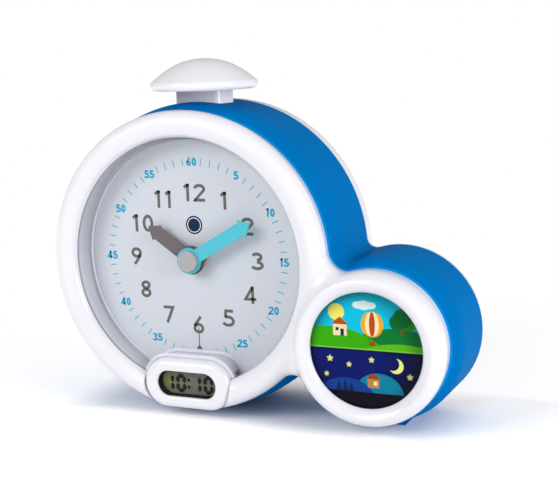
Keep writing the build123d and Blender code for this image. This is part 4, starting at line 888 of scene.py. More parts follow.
WHITE = Moulded("white_plastic", srgb(228, 227, 233), roughness=0.2, coat=0.3)
KEY_BLUE = Grained("key_blue", srgb(0, 104, 188), 0.45)
CLEAR = Clear("clear_plastic")
BLACK = Grained("black_plastic", srgb(18, 18, 20), 0.5)
GREY = Grained("grey_plastic", srgb(86, 88, 92), 0.5)
NATURAL = Grained("natural_plastic", srgb(226, 222, 206), 0.42, 0.01)
LIGHT_BOX = Grained("light_box_white", srgb(238, 238, 232), 0.5, 0.01)
STEEL = Metal("screw_steel", srgb(190, 191, 194))
RECESS = Metal("screw_recess", srgb(58, 58, 62), 0.505)
SPRING = Metal("spring_steel", srgb(205, 205, 208), 0.225)
BRASS = Metal("nut_brass", srgb(214, 178, 96), 0.285)
COPPER = Metal("coil_copper", srgb(190, 108, 62), 0.305, (0.3, 0.3, 9.0))
FERRITE = Metal("speaker_ferrite", srgb(70, 70, 74), 0.555)
LACQUER = Painted("speaker_lacquer", srgb(38, 38, 40), 0.35)
PAPER = Grained("speaker_paper", srgb(34, 32, 32), 0.85, 0.05)
RESIN = Moulded("lamp_resin", srgb(236, 236, 222), 0.12)
TURQUOISE = Painted("turquoise_paint", srgb(60, 180, 196), 0.42)
TAUPE = Painted("taupe_paint", srgb(94, 85, 89), 0.42)
CAP = Moulded("cap_plastic", srgb(163, 163, 165), 0.3)
DIAL = DialSheet("dial_sheet", srgb(202, 207, 216))
HOUR_INK = Ink("hour_ink", srgb(97, 97, 91))
MINUTE_INK = Ink("minute_ink", srgb(28, 156, 194))
TICK_INK = Ink("tick_ink", srgb(16, 170, 186))
MARK_INK = Ink("mark_ink", srgb(98, 84, 98))
NAVY_INK = Ink("navy_ink", srgb(0, 34, 66))
WHITE_INK = Ink("white_ink", srgb(240, 240, 244))
SEGMENT_INK = Ink("segment_ink", srgb(6, 8, 6))
BOARD = Board("circuit_board")
HOLDER = Moulded("black_holder", srgb(5, 5, 6), 0.5, shine=0.05)


# ---- mesh helpers ----


def new_object(name: str, data: bpy.types.ID) -> bpy.types.Object:
    """Make an object in the scene.

    Args:
        name: Its name.
        data: Its mesh, lamp or camera.

    Returns:
        The object.
    """
    made = bpy.data.objects.new(name, data)
    bpy.context.scene.collection.objects.link(made)
    return made


def mesh_object(name: str, mesh: bpy.types.Mesh, finish: Finish) -> bpy.types.Object:
    """Make a piece with one finish.

    Args:
        name: The piece's name.
        mesh: Its mesh.
        finish: What it is made of.

    Returns:
        The piece.
    """
    mesh.materials.clear()
    mesh.materials.append(finish.material())
    LOG.info("%s: %d faces", name, len(mesh.polygons))
    return new_object(name, mesh)


def settle(piece: bpy.types.Object, body: str, slot: str, *nodes: str) -> None:
    """Let a piece ride on a body.

    Args:
        piece: The piece.
        body: The body.
        slot: The name of the piece's material slot; not used.
        nodes: The nodes that the piece stands for.
    """
    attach(piece, body)
    if nodes:
        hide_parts(*nodes)


def flat_shapes(name: str, outlines: list[list[Point]], front: float, depth: float) -> bpy.types.Mesh:
    """Make upright plates from closed outlines.

    Args:
        name: The mesh's name.
        outlines: Closed outlines in X and Z, in millimetres.
        front: Depth of the plates' fronts, in millimetres.
        depth: Their thickness.

    Returns:
        The mesh, in metres.
    """
    shape = bmesh.new()
    for outline in outlines:
        near, far = (
            [shape.verts.new((x * MM, y * MM, z * MM)) for x, z in outline] for y in (front, front + depth)
        )
        shape.faces.new(near)
        shape.faces.new(far)
        for n in range(len(near)):
            shape.faces.new((near[n - 1], near[n], far[n], far[n - 1]))
    bmesh.ops.triangulate(shape, faces=[f for f in shape.faces if len(f.verts) > 4])
    bmesh.ops.recalc_face_normals(shape, faces=shape.faces)
    mesh = bpy.data.meshes.new(name)
    shape.to_mesh(mesh)
    shape.free()
    return mesh


# ---- numbers ----


class Pen:
    """Strokes of one width that write plain upright digits, one unit high."""

    STEPS = 18

    def __init__(self, weight: float, stretch: float = 1.0, gap: float = 0.1) -> None:
        """Draw the digits' lines.

        Args:
            weight: The stroke's width, as a share of a digit's height.
            stretch: How much wider than drawn the digits are written.
            gap: The gap between two digits, as a share of their height.
        """
        self.weight = weight
        self.stretch = stretch
        self.gap = gap
        half = weight / 2
        top, bottom = 1 - half, half
        self.paths: dict[str, list[list[Point]]] = {
            "0": [self.loop(0.3, 0.5, 0.3 - half, 0.5 - half)],
            "1": [[(0.06, 0.78), (0.2, top), (0.34, top)], [(0.34 - half, 1.0), (0.34 - half, 0.0)]],
            "2": [
                self.turn(0.29, 0.71, 0.24, 0.29 - half, 170, -22) + [(0.07, bottom), (0.1, bottom)],
                [(0.02, bottom), (0.58, bottom)],
            ],
            "3": [
                self.turn(0.28, 0.74, 0.21, 0.26 - half, 160, -90),
                self.turn(0.28, 0.27, 0.26, 0.27 - half, 90, -160),
            ],
            "4": [[(0.62, 0.26), (0.08, 0.26), (0.44, 0.94)], [(0.44, 1.0), (0.44, 0.0)]],
            "5": [
                [(0.54, top), (0.17, top), (0.13, 0.52)],
                self.turn(0.27, 0.33, 0.27, 0.33 - half, 118, -155),
            ],
            "6": [self.loop(0.3, 0.31, 0.3 - half, 0.31 - half), [(0.42, 0.99), (0.08, 0.44)]],
            "7": [[(0.02, top), (0.52, top), (0.2, 0.0)]],
            "8": [
                self.loop(0.3, 0.74, 0.23 - half * 0.6, 0.26 - half),
                self.loop(0.3, 0.28, 0.29 - half, 0.28 - half),
            ],
            "9": [self.loop(0.3, 0.69, 0.3 - half, 0.31 - half), [(0.18, 0.01), (0.52, 0.56)]],
        }
        self.widths = {"1": 0.4, "4": 0.64, "7": 0.56}

    def turn(self, x: float, z: float, wide: float, high: float, start: float, end: float) -> list[Point]:
        """Points of an elliptic arc between two angles in degrees."""
        angles = [math.radians(start + (end - start) * n / self.STEPS) for n in range(self.STEPS + 1)]
        return [(x + wide * math.cos(a), z + high * math.sin(a)) for a in angles]

    def loop(self, x: float, z: float, wide: float, high: float) -> list[Point]:
        """Points of a whole ellipse, closed on itself."""
        return self.turn(x, z, wide, high, 0, 360)

    def width(self, digit: str) -> float:
        """Width of a digit with the gap after it."""
        return self.widths.get(digit, 0.6) * self.stretch + self.gap

    def stroke(self, path: list[Point]) -> list[list[Point]]:
        """Turn a line into quads of the stroke's width, mitred where the line bends.

        Args:
            path: The line's points.

        Returns:
            The quads' outlines.
        """
        path = [(u * self.stretch, v) for u, v in path]
        closed = math.dist(path[0], path[-1]) < TINY
        sides = []
        for n, here in enumerate(path):
            before = path[n - 1] if n else (path[-2] if closed else None)
            after = path[n + 1] if n + 1 < len(path) else (path[1] if closed else None)
            legs = [Vector(b) - Vector(a) for a, b in ((before, here), (here, after)) if a and b]
            normals = [Vector((-leg.y, leg.x)).normalized() for leg in legs]
            normal = sum(normals, Vector((0, 0))).normalized()
            reach = self.weight / 2 / max(0.5, normal.dot(normals[0]))
            sides.append((Vector(here) + normal * reach, Vector(here) - normal * reach))
        return [[tuple(a[0]), tuple(b[0]), tuple(b[1]), tuple(a[1])] for a, b in zip(sides, sides[1:])]

    def number(self, text: str, x: float, z: float, height: float) -> list[list[Point]]:
        """Write a number centred on a point, in the caller's units.

        Args:
            text: The number's digits.
            x, z: The point.
            height: The digits' height.

        Returns:
            The outlines of its strokes.
        """
        span = sum(self.width(digit) for digit in text) - self.gap
        shift, outlines = -span / 2, []
        for digit in text:
            for path in self.paths[digit]:
                for quad in self.stroke(path):
                    outlines.append([(x + (shift + u) * height, z + (v - 0.5) * height) for u, v in quad])
            shift += self.width(digit)
        return outlines


# ---- geometry nodes ----


class Recipe:
    """A geometry node tree that lays copies of a shape and inks them."""

    def __init__(self, name: str, inputs: dict[str, str]) -> None:
        """Start a tree.

        Args:
            name: Its name.
            inputs: The type of each of its inputs, by the input's name.
        """
        self.tree = bpy.data.node_groups.new(name, "GeometryNodeTree")
        for label, kind in inputs.items():
            self.tree.interface.new_socket(label, in_out="INPUT", socket_type="NodeSocket" + kind)
        self.tree.interface.new_socket("Geometry", in_out="OUTPUT", socket_type="NodeSocketGeometry")
        self.given = self.tree.nodes.new("NodeGroupInput").outputs

    def node(self, kind: str, inputs: dict[object, object], **settings: object) -> bpy.types.NodeSocket:
        """Add a node.

        Args:
            kind: The node's type.
            inputs: Values or links of its sockets, by name or number. A list links several to one.
            settings: The node's own settings, which are set first.

        Returns:
            The node's first output.
        """
        node = self.tree.nodes.new(kind)
        for key, value in settings.items():
            setattr(node, key, value)
        for key, value in inputs.items():
            for source in value if isinstance(value, list) else [value]:
                if isinstance(source, bpy.types.NodeSocket):
                    self.tree.links.new(source, node.inputs[key])
                else:
                    node.inputs[key].default_value = source
        return node.outputs[0] if node.outputs else None

    def lay(self, shape: bpy.types.NodeSocket, points: bpy.types.NodeSocket, **inputs: object) -> None:
        """End the tree with inked copies of a shape.

        Args:
            shape: The shape.
            points: Where its copies lie.
            inputs: More inputs of the node that lays them, by name.
        """
        copies = self.node("GeometryNodeInstanceOnPoints", {"Points": points, "Instance": shape, **inputs})
        real = self.node("GeometryNodeRealizeInstances", {0: copies})
        inked = self.node("GeometryNodeSetMaterial", {0: real, "Material": self.given["Ink"]})
        self.node("NodeGroupOutput", {0: inked})

    def run(self, values: dict[str, object], points: Sequence[Vector] = ()) -> bpy.types.Mesh:
        """Run the tree once and keep its result.

        Args:
            values: Its inputs, by name.
            points: The vertices of the mesh that it starts from, in metres.

        Returns:
            A plain mesh.
        """
        start = bpy.data.meshes.new(self.tree.name)
        start.from_pydata([tuple(point) for point in points], [], [])
        maker = new_object(self.tree.name, start)
        modifier = maker.modifiers.new(self.tree.name, "NODES")
        modifier.node_group = self.tree
        for item in self.tree.interface.items_tree:
            if item.name in values:
                modifier[item.identifier] = values[item.name]
        evaluated = maker.evaluated_get(bpy.context.evaluated_depsgraph_get())
        mesh = bpy.data.meshes.new_from_object(evaluated)
        bpy.data.objects.remove(maker)
        return mesh


@dataclass
class TickRing:
    """Minute ticks round a dial, with a gap at each numbered minute.

    Attributes:
        middle: The dial axis in X and Z.
        face: The depth of the dial's face.
        radius: The circle on which the ticks' middles lie.
        length, width, proud: The size of a tick.
        ticks: How many minutes there are.
        gap_every: Which of them are numbered.
    """

    middle: Point
    face: float
    radius: float
    length: float
    width: float
    proud: float = 0.04
    ticks: int = 60
    gap_every: int = 5

    def recipe(self) -> Recipe:
        """Build the tree: points on a circle, one bar on each, gaps left out.

        Returns:
            The tree.
        """
        inputs = {"Count": "Int", "Gap Every": "Int", "Radius": "Float", "Bar": "Vector", "Ink": "Material"}
        recipe = Recipe("tick_ring", inputs)
        count, gap, radius, bar = (recipe.given[name] for name in ("Count", "Gap Every", "Radius", "Bar"))
        circle = recipe.node("GeometryNodeMeshCircle", {"Vertices": count, "Radius": radius})
        tick = recipe.node("GeometryNodeMeshCube", {"Size": bar})
        index = recipe.node("GeometryNodeInputIndex", {})
        step = recipe.node("FunctionNodeIntegerMath", {0: index, 1: gap}, operation="MODULO")
        wanted = recipe.node("FunctionNodeCompare", {2: step}, data_type="INT", operation="NOT_EQUAL")
        share = recipe.node("ShaderNodeMath", {0: index, 1: count}, operation="DIVIDE")
        turn = recipe.node("ShaderNodeMath", {0: share, 1: math.tau}, operation="MULTIPLY")
        angle = recipe.node("ShaderNodeCombineXYZ", {"Z": turn})
        recipe.lay(tick, circle, Selection=wanted, Rotation=angle)
        return recipe

    def make(self, finish: Finish) -> bpy.types.Object:
        """Run the tree and stand its result upright on the dial.

        Args:
            finish: The ticks' finish.

        Returns:
            The ring.
        """
        bar = (self.length * MM, self.width * MM, self.proud * MM)
        values = {"Count": self.ticks, "Gap Every": self.gap_every, "Radius": self.radius * MM, "Bar": bar}
        mesh = self.recipe().run({**values, "Ink": finish.material()})
        place = Vector((self.middle[0], self.face - self.proud / 2, self.middle[1])) * MM
        mesh.transform(Matrix.Rotation(math.radians(90), 4, "X"))
        mesh.transform(Matrix.Translation(place))
        return mesh_object("minute_ticks", mesh, finish)


@dataclass
class CrossRecesses:
    """Crossed slots on screw heads that face the back.

    Attributes:
        name: The piece's name.
        heads: The middles of the heads.
        reach: How long a slot is.
        slot: How wide it is.
        proud: How thick it is.
    """

    name: str
    heads: list[Vector]
    reach: float
    slot: float = 0.7
    proud: float = 0.04

    def recipe(self) -> Recipe:
        """Build the tree: two crossed bars on each point.

        Returns:
            The tree.
        """
        recipe = Recipe("cross_recesses", {"Points": "Geometry", "Bar": "Vector", "Ink": "Material"})
        bar = recipe.node("GeometryNodeMeshCube", {"Size": recipe.given["Bar"]})
        quarter = (0.0, math.radians(90), 0.0)
        upright = recipe.node("GeometryNodeTransform", {0: bar, "Rotation": quarter})
        cross = recipe.node("GeometryNodeJoinGeometry", {0: [bar, upright]})
        recipe.lay(cross, recipe.given["Points"])
        return recipe

    def make(self, finish: Finish) -> bpy.types.Object:
        """Run the tree on one point for each head.

        Args:
            finish: The slots' finish.

        Returns:
            The slots.
        """
        points = [(head + Vector((0.0, self.proud / 2, 0.0))) * MM for head in self.heads]
        size = (self.reach * MM, self.proud * MM, self.slot * MM)
        mesh = self.recipe().run({"Bar": size, "Ink": finish.material()}, points)
        return mesh_object(self.name, mesh, finish)


# ---- sub-assemblies ----


@dataclass
class Clock:
    """The frame's places that several sub-assemblies share, in millimetres."""

    frame: dict

    def dress(self, finish: Finish, *nodes: str) -> None:
        """Give a finish to parts of the frame.

        Args:
            finish: The finish.
            nodes: The parts' nodes.
        """
        for name in nodes:
            mesh = self.frame["nodes"][name].data
            mesh.materials.clear()
            mesh.materials.append(finish.material())
            LOG.info("%s: %s", name, finish.name)

    def low(self, node: str) -> Vector:
        """Give the lowest corner of a node."""
        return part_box(node)[0] / MM

    def high(self, node: str) -> Vector:
        """Give the highest corner of a node."""
        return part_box(node)[1] / MM

    def middle(self, node: str) -> Vector:
        """Give the middle of a node's box."""
        return (self.low(node) + self.high(node)) / 2

    def back_ends(self, node: str) -> list[Vector]:
        """Find the rearmost end of each separate solid of a node.

        Args:
            node: The node.

        Returns:
            The ends' middles.
        """
        source = self.frame["nodes"][node]
        shape = bmesh.new()
        shape.from_mesh(source.data)
        bmesh.ops.transform(shape, matrix=source.matrix_world, verts=shape.verts)
        bmesh.ops.remove_doubles(shape, verts=shape.verts, dist=TINY)
        waiting, ends = set(shape.verts), []
        while waiting:
            reached = [waiting.pop()]
            for vert in reached:
                near = {edge.other_vert(vert) for edge in vert.link_edges} & waiting
                waiting -= near
                reached.extend(near)
            places = [vert.co / MM for vert in reached]
            low, high = (Vector(pick(c[k] for c in places) for k in range(3)) for pick in (min, max))
            ends.append(Vector(((low.x + high.x) / 2, high.y, (low.z + high.z) / 2)))
        shape.free()
        return sorted(ends, key=tuple)


@dataclass
class SubAssembly:
    """Parts of the clock that are dressed together.

    Attributes:
        clock: The frame's parts and places.
        PLAIN: Each finish that needs no place, with the parts that have it.
    """

    clock: Clock
    PLAIN: ClassVar[tuple[tuple, ...]] = ()

    def build(self) -> None:
        """Dress the parts that need no more than a plain finish."""
        for finish, *nodes in self.PLAIN:
            self.clock.dress(finish, *nodes)


@dataclass
class Case(SubAssembly):
    """The housing, bezel and cover with their screws.

    Attributes:
        slots: The length of the slots on each kind of screw, with the body that carries it.
    """

    PLAIN = (
        (WHITE, "rear_cover", "battery_door"),
        (STEEL, "case_screws", "battery_door_screws"),
    )
    slots: tuple = (("case_screws", "clock_case", 3.2), ("battery_door_screws", "battery_lid", 1.9))

    def build(self) -> None:
        """Dress the case."""
        super().build()
        axis = self.clock.middle("hub_cap")
        axis.y = self.clock.low("dial_lens").y
        # The bezel's white carries painted shade on the wall round the dial.
        bezel = BezelPlasticPaintedShade("bezel_white_painted_shade", WHITE.colour, WHITE.roughness, WHITE.coat, axis=tuple(axis))
        self.clock.dress(bezel, "front_bezel")
        joint = self.clock.low("main_housing").y
        # The housing's blue carries a painted highlight along the edge at the bezel.
        blue = SleevePlasticPaintedHighlight("blue_plastic", srgb(0, 107, 175), 0.46, ripple=0.004, shine=0.004, joint=joint)
        self.clock.dress(blue, "main_housing")
        for node, body, reach in self.slots:
            recesses = CrossRecesses(node + "_recess", self.clock.back_ends(node), reach)
            settle(recesses.make(RECESS), body, "screw_steel")


@dataclass
class Dial(SubAssembly):
    """The printed dial behind its clear tray.

    Attributes:
        film: The ink's thickness.
        hour_radius, minute_radius: The circles on which the numbers' middles lie.
        hour_height, minute_height: The digits' heights.
        hour_pen, minute_pen: The pens' weight, stretch and gap.
        tick: The length and width of a tick.
        twelve_shift: How far the twelve lies from its place on the circle.
        pointer: How far below the axis the pointer's base, its tip and its line's end lie.
        pointer_half, line_half: Half the width of the pointer's base and of its line.
        overlap: How far the line reaches into the pointer.
        roundel: The roundel's radius.
        roundel_at: How far its middle lies above the axis.
        roundel_ring: How far in from its rim the white ring begins and ends.
        roundel_sides: How many sides its circles have.
        x, z, face: The dial axis and the depth of the dial's face.
    """

    PLAIN = ((DIAL, "dial_plate"), (STEEL, "dial_screws"))
    film: float = 0.04
    hour_radius: float = 36.2
    hour_height: float = 9.4
    hour_pen: Place = (0.175, 1.22, 0.2)
    minute_radius: float = 51.5
    minute_height: float = 4.4
    minute_pen: Place = (0.24, 1.05, 0.08)
    tick: Point = (3.7, 0.5)
    twelve_shift: Point = (0.8, -1.0)
    pointer: Place = (50.6, 46.9, 37.3)
    pointer_half: float = 2.8
    line_half: float = 0.25
    overlap: float = 0.5
    roundel: float = 4.9
    roundel_at: float = 18.0
    roundel_ring: Point = (0.9, 1.3)
    roundel_sides: int = 48
    x: float = field(init=False)
    z: float = field(init=False)
    face: float = field(init=False)

    def __post_init__(self) -> None:
        """Find the dial axis and the dial's face."""
        axis = self.clock.middle("hub_cap")
        self.x, self.z = axis.x, axis.z
        self.face = self.clock.low("dial_plate").y

    def build(self) -> None:
        """Dress the dial and its lens, and print the numbers and ticks."""
        super().build()
        front = (self.x, self.clock.low("dial_lens").y, self.z)
        self.clock.dress(Tray("clear_tray_painted_highlight", most=0.3, axis=front), "dial_lens")
        hours, minutes = Pen(*self.hour_pen), Pen(*self.minute_pen)
        self.numbers("hour_numbers", hours, self.hour_radius, self.hour_height, 1, HOUR_INK)
        self.numbers("minute_numbers", minutes, self.minute_radius, self.minute_height, 5, MINUTE_INK)
        ring = TickRing((self.x, self.z), self.face, self.minute_radius, *self.tick)
        settle(ring.make(TICK_INK), "clock_case", "dial_face")
        self.marks()

    def on_circle(self, radius: float, angle: float, above: float = 0.0) -> Point:
        """Give the point at an angle on a circle whose middle lies above the dial axis."""
        return self.x + radius * math.cos(angle), self.z + above + radius * math.sin(angle)

    def lay(self, name: str, outlines: list[list[Point]], ink: Finish, films: float = 1.0) -> None:
        """Print flat shapes on the dial.

        Args:
            name: The piece's name.
            outlines: The shapes.
            ink: Their finish.
            films: How many films of ink lie between the dial and their front.
        """
        mesh = flat_shapes(name, outlines, self.face - films * self.film, self.film)
        settle(mesh_object(name, mesh, ink), "clock_case", "dial_face")

    def numbers(self, name: str, pen: Pen, radius: float, height: float, step: int, ink: Finish) -> None:
        """Print twelve numbers upright on a circle.

        Args:
            name: The piece's name.
            pen: What writes the digits.
            radius: The circle on which the numbers' middles lie.
            height: The digits' height.
            step: How much each number adds.
            ink: The finish.
        """
        outlines = []
        for n in range(1, 13):
            x, z = self.on_circle(radius, math.radians(90 - 30 * n))
            if n * step == 12:
                x, z = x + self.twelve_shift[0], z + self.twelve_shift[1]
            outlines += pen.number(str(n * step), x, z, height)
        self.lay(name, outlines, ink)

    def marks(self) -> None:
        """Print the small pointer under the six and the plain roundel under the twelve."""
        base, tip, end = (self.z - below for below in self.pointer)
        half, line = self.pointer_half, self.line_half
        head = [(self.x - half, base), (self.x + half, base), (self.x, tip)]
        foot = tip - self.overlap
        stalk = [(self.x - line, foot), (self.x + line, foot), (self.x + line, end), (self.x - line, end)]
        self.lay("half_hour_mark", [head, stalk], MARK_INK, 1.5)
        for name, inset, films, ink in (
            ("dial_roundel", 0.0, 1, NAVY_INK),
            ("roundel_ring", self.roundel_ring[0], 2, WHITE_INK),
            ("roundel_middle", self.roundel_ring[1], 3, NAVY_INK),
        ):
            angles = [math.tau * n / self.roundel_sides for n in range(self.roundel_sides)]
            rim = [self.on_circle(self.roundel - inset, angle, self.roundel_at) for angle in angles]
            self.lay(name, [rim], ink, films)


@dataclass
class Hands(SubAssembly):
    """Both hands, the cap and the movement that turns them."""

    PLAIN = (
        (TURQUOISE, "minute_hand"),
        (TAUPE, "hour_hand"),
        (CAP, "hub_cap"),
        (BLACK, "movement_front", "movement_back"),
        (BRASS, "movement_nut"),
        (NATURAL, "cannon_pinion", "hour_wheel", "minute_wheel", "set_pinion"),
        (GREY, "set_knob"),
        (COPPER, "movement_coil"),
        (BOARD, "movement_board"),
    )


@dataclass
class DisplayPod(SubAssembly):
    """The pod with its small digital display.

    Attributes:
        digit_height, digit_width: The size of a digit, between its segments' middles.
        pitch: How far apart digits stand.
        thick: A segment's thickness.
        gap: How far a segment stays short of its corner.
        colon: Where the colon's middle lies from the display's.
        colon_gap: How far from it the nearest digits begin.
        dot, dot_rise: A dot's size and how far it lies from the colon's middle.
        film: How thick the segments are.
        text: The time shown.
    """

    PLAIN = ((WHITE, "pod_frame"), (CLEAR, "lcd_window"), (HOLDER, "lcd_holder"), (BOARD, "lcd_board"))
    SEGMENTS: ClassVar[dict[str, str]] = {
        "0": "abcdef", "1": "bc", "2": "abged", "3": "abgcd", "4": "fgbc",
        "5": "afgcd", "6": "afgedc", "7": "abc", "8": "abcdefg", "9": "abcdfg",
    }
    digit_height: float = 8.0
    digit_width: float = 3.9
    pitch: float = 7.15
    thick: float = 2.25
    gap: float = 0.02
    colon: Point = (-1.3, -0.9)
    colon_gap: float = 2.65
    dot: float = 1.7
    dot_rise: float = 2.0
    film: float = 0.05
    text: str = "10:10"

    def build(self) -> None:
        """Dress the pod and show the time."""
        super().build()
        middle = self.clock.middle("lcd_panel")
        self.clock.dress(DisplayGlass("display_glass", tuple(middle)), "lcd_panel")
        self.show(middle.x, middle.z, self.clock.low("lcd_panel").y)

    def segment(self, name: str, x: float, z: float) -> list[Point]:
        """Draw one segment of a digit.

        Args:
            name: The segment's letter.
            x, z: The digit's lower left corner.

        Returns:
            The segment's outline.
        """
        w, h, t = self.digit_width, self.digit_height, self.thick / 2
        upright = {"f": (0, h / 2), "b": (w, h / 2), "e": (0, 0), "c": (w, 0)}
        if name in upright:
            u, v = upright[name]
            low, high = v + self.gap, v + h / 2 - self.gap
            right = [(u, low), (u + t, low + t), (u + t, high - t)]
            left = [(u, high), (u - t, high - t), (u - t, low + t)]
            return [(x + a, z + b) for a, b in right + left]
        v = {"a": h, "g": h / 2, "d": 0}[name]
        first, last = self.gap, w - self.gap
        lower = [(first, v), (first + t, v - t), (last - t, v - t)]
        upper = [(last, v), (last - t, v + t), (first + t, v + t)]
        return [(x + a, z + b) for a, b in lower + upper]

    def show(self, x: float, z: float, front: float) -> None:
        """Lay the segments of the time on the display's face.

        Args:
            x, z: The middle of the display.
            front: The depth of its face.
        """
        x, z = x + self.colon[0], z + self.colon[1]
        outlines = []
        for n, digit in enumerate(self.text.replace(":", "")):
            left = self.colon_gap + (n - 2) * self.pitch
            if n < 2:
                left = (n - 1) * self.pitch - self.colon_gap - self.digit_width
            corner = (x + left, z - self.digit_height / 2)
            outlines += [self.segment(name, *corner) for name in self.SEGMENTS[digit]]
        half = self.dot / 2
        for rise in (-self.dot_rise, self.dot_rise):
            corners = ((-half, -half), (half, -half), (half, half), (-half, half))
            outlines.append([(x + u, z + rise + v) for u, v in corners])
        mesh = flat_shapes("display_segments", outlines, front - self.film, self.film)
        settle(mesh_object("display_segments", mesh, SEGMENT_INK), "clock_case", "lcd_glass")


@dataclass
class NightLight(SubAssembly):
    """The round picture and what lights it."""

    PLAIN = (
        (CLEAR, "night_lens"),
        (LIGHT_BOX, "light_box"),
        (RESIN, "day_led", "night_led"),
        (BOARD, "led_board"),
        (STEEL, "light_box_screws"),
    )

    def build(self) -> None:
        """Dress the night light."""
        super().build()
        middle = self.clock.middle("picture_sheet")
        self.clock.dress(DayAndNight("day_and_night", tuple(middle)), "picture_sheet")


@dataclass
class SnoozeButton(SubAssembly):
    """The domed button and its switch.

    Attributes:
        dome_height: How far the dome's underside lies below its top.
        travel: How far the button goes down; not used.
    """

    PLAIN = (
        (WHITE, "snooze_retainer"),
        (STEEL, "snooze_screws", "snooze_board_screws"),
        (BOARD, "snooze_board"),
        (BLACK, "snooze_switch"),
    )
    dome_height: float = 16.3
    travel: float = 2.5

    def build(self) -> None:
        """Dress the button."""
        super().build()
        under = (self.clock.middle("snooze_button").x, self.clock.high("snooze_button").z - self.dome_height)
        # The button's stem carries painted shade below the dome.
        button = ButtonPlasticPaintedShade("button_white_painted_shade", WHITE.colour, WHITE.roughness, WHITE.coat, middle=under)
        self.clock.dress(button, "snooze_button")
        self.coil("snooze_spring")

    def coil(self, node: str) -> None:
        """Put a copy of the frame's spring in its place.

        Args:
            node: The frame's spring.
        """
        low, high = self.clock.low(node), self.clock.high(node)
        piece = mesh_object("snooze_coil", self.clock.frame["nodes"][node].data.copy(), SPRING)
        settle(piece, "clock_case", "spring_steel", node)
        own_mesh(piece)


@dataclass
class RearControls(SubAssembly):
    """Board, buttons, switch and inlet on the back, the battery bay and the speaker."""

    PLAIN = (
        (BOARD, "control_board"),
        (STEEL, "board_screws", "speaker_screws"),
        (BLACK, "board_switches", "mode_switch_body", "dc_jack"),
        (KEY_BLUE, "hour_button", "minute_button", "alarm_button", "light_button"),
        (GREY, "mode_switch"),
        (SPRING, "battery_springs", "battery_contacts"),
        (LACQUER, "speaker_frame"),
        (PAPER, "speaker_cone"),
        (FERRITE, "speaker_magnet"),
    )

    def build(self) -> None:
        """Dress the rear controls, and the cells with their heads to either side in turn."""
        super().build()
        for n, head in ((1, Head.RIGHT), (2, Head.LEFT), (3, Head.RIGHT)):
            name = f"battery_{n}"
            self.clock.dress(CellJacket(f"cell_jacket_{n}", self.clock.middle(name).x, head), name)


# ---- the studio ----


@dataclass(frozen=True)
class Lamp:
    """A square soft lamp.

    Attributes:
        name: Its name.
        place: Where it hangs.
        size: The length of its sides.
        power: Its power, in watts.
        colour: The colour of its light.
    """

    name: str
    place: Place
    size: float
    power: float
    colour: Colour

    def hang(self, target: Vector) -> None:
        """Hang the lamp so that it faces a point.

        Args:
            target: The point.
        """
        data = bpy.data.lights.new(self.name, "AREA")
        data.shape = "SQUARE"
        data.size = self.size * MM
        data.energy = self.power
        data.color = self.colour
        lamp = new_object(self.name, data)
        lamp.location = Vector(self.place) * MM
        lamp.rotation_euler = (target - Vector(self.place)).to_track_quat("-Z", "Y").to_euler()


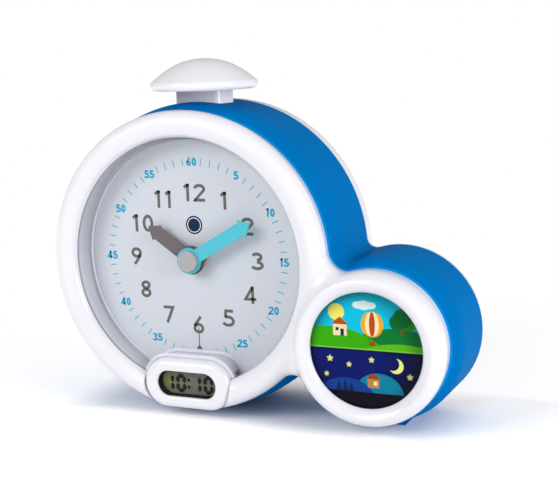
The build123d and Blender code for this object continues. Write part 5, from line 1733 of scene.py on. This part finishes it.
@dataclass
class Studio:
    """Camera, floor, lamps and surroundings.

    Attributes:
        azimuth, elevation, roll: The camera's angles about the object, in degrees.
        place: Where the camera stands.
        lens: Its focal length.
        clip_start: How near it still sees, in metres.
        floor_half: Half the floor's side.
        floor_colour: The floor's colour.
        floor_fade: Where the floor is half white, and over what width it fades.
        floor_lift: How much the floor glows in front, at the back, to the left and to the right.
        front_lift: How much more it glows in front of the large lobe.
        footprint: Half the object's width and depth on the floor.
        surround: The light from all around.
        target: What the lamps face.
        lamps: The lamps.
    """

    azimuth: float = 24.35
    elevation: float = 9.58
    roll: float = -1.97
    place: Place = (263.04, -559.77, 191.90)
    lens: float = 75.87
    clip_start: float = 0.01
    floor_half: float = 6000.0
    floor_colour: Colour = srgb(250, 251, 253)
    floor_fade: Point = (230.0, 180.0)
    floor_lift: tuple[float, float, float, float] = (0.29, 0.29, 0.29, 0.2)
    front_lift: float = 0.15
    footprint: Point = (95.0, 38.0)
    surround: float = 0.5
    target: Place = (0.0, 0.0, 90.0)
    lamps: tuple[Lamp, ...] = (
        Lamp("key", (-560, -920, 600), 600, 7.0, (1.0, 0.99, 0.98)),
        Lamp("side", (900, -250, 330), 500, 5.8, (0.98, 0.98, 1.0)),
    )

    def build(self) -> None:
        """Set up the studio."""
        bpy.context.scene.view_settings.view_transform = "Standard"
        self.camera()
        self.floor()
        self.surroundings()
        for lamp in self.lamps:
            lamp.hang(Vector(self.target))

    def camera(self) -> None:
        """Place the camera by its angles about the object."""
        turn, tilt, roll = (math.radians(v) for v in (self.azimuth, self.elevation, self.roll))
        ahead = Vector((-math.sin(turn) * math.cos(tilt), math.cos(turn) * math.cos(tilt), -math.sin(tilt)))
        level = Vector((math.cos(turn), math.sin(turn), 0))
        upright = level.cross(ahead)
        right = level * math.cos(roll) + upright * math.sin(roll)
        up = upright * math.cos(roll) - level * math.sin(roll)
        pose = Matrix((right, up, -ahead)).transposed().to_4x4()
        pose.translation = Vector(self.place) * MM
        data = bpy.data.cameras.new("camera")
        data.lens = self.lens
        data.clip_start = self.clip_start
        camera = new_object("camera", data)
        camera.matrix_world = pose
        bpy.context.scene.camera = camera

    def floor(self) -> None:
        """Lay a pale floor that keeps the shadow and fades to white far away."""
        half = self.floor_half * MM
        mesh = bpy.data.meshes.new("floor")
        corners = [(-half, -half, 0), (half, -half, 0), (half, half, 0), (-half, half, 0)]
        mesh.from_pydata(corners, [], [(0, 1, 2, 3)])
        graph = Surface("studio_floor")
        x, y, _ = graph.place()
        far = (x * x + y * y).maths("SQRT").above(*self.floor_fade)
        rays = graph.node("LightPath", {}, {}).outputs
        seen = Wire(graph, rays["Is Camera Ray"])
        for kind in ("Is Glossy Ray", "Is Transmission Ray"):
            seen = seen.maths("MAXIMUM", Wire(graph, rays[kind]))
        graph.set(Base_Color=self.floor_colour, Roughness=0.9, Specular_IOR_Level=0.0)
        lifted = graph.node("Emission", {}, {0: (1.0, 1.0, 1.0), 1: seen * self.lift(x, y)})
        near = graph.node("AddShader", {}, {0: graph.shader.outputs[0], 1: lifted.outputs[0]})
        glow = graph.node("Emission", {}, {0: (1.0, 1.0, 1.0), 1: 1.0})
        shown = graph.node("MixShader", {}, {0: far, 1: near.outputs[0], 2: glow.outputs[0]})
        graph.feed(graph.output.inputs[0], shown.outputs[0])
        mesh.materials.append(graph.material)
        floor = new_object("floor", mesh)

    def lift(self, x: Wire, y: Wire) -> Wire:
        """Give how much the floor glows beside the object.

        Args:
            x, y: The place on the floor.

        Returns:
            The glow's strength, most in front of the large lobe and least to the right.
        """
        wide, deep = self.footprint
        front, back, left, right = self.floor_lift
        before = (0 - y - deep).above(-2.0, 20.0)
        glow = before * ((20 - x).above(0.0, 40.0) * self.front_lift + front)
        for away, strength in ((y - deep, back), (0 - x - wide, left), (x - wide, right)):
            glow = glow.maths("MAXIMUM", away.above(6.0, 28.0) * strength)
        return glow

    def surroundings(self) -> None:
        """Light the scene from all around, white where the camera looks."""
        world = bpy.data.worlds.new("studio")
        bpy.context.scene.world = world
        graph = Graph(world, "OutputWorld")
        seen = graph.node("LightPath", {}, {}).outputs["Is Camera Ray"]
        strength = graph.node("MapRange", {}, {0: seen, "To Min": self.surround, "To Max": 1.0})
        inputs = {"Color": (1.0, 1.0, 1.0), "Strength": strength.outputs[0]}
        graph.feed(graph.output.inputs[0], graph.node("Background", {}, inputs).outputs[0])


def main() -> None:
    """Build the clock and its studio, in order."""
    logging.basicConfig(level=logging.INFO, format="%(name)s %(message)s")
    for leftover in list(bpy.data.objects):
        bpy.data.objects.remove(leftover)
    clock = Clock(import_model())
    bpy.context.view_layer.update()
    for part in (Case, Dial, Hands, DisplayPod, NightLight, SnoozeButton, RearControls):
        part(clock).build()
    Studio().build()


if __name__ == "__main__":
    main()
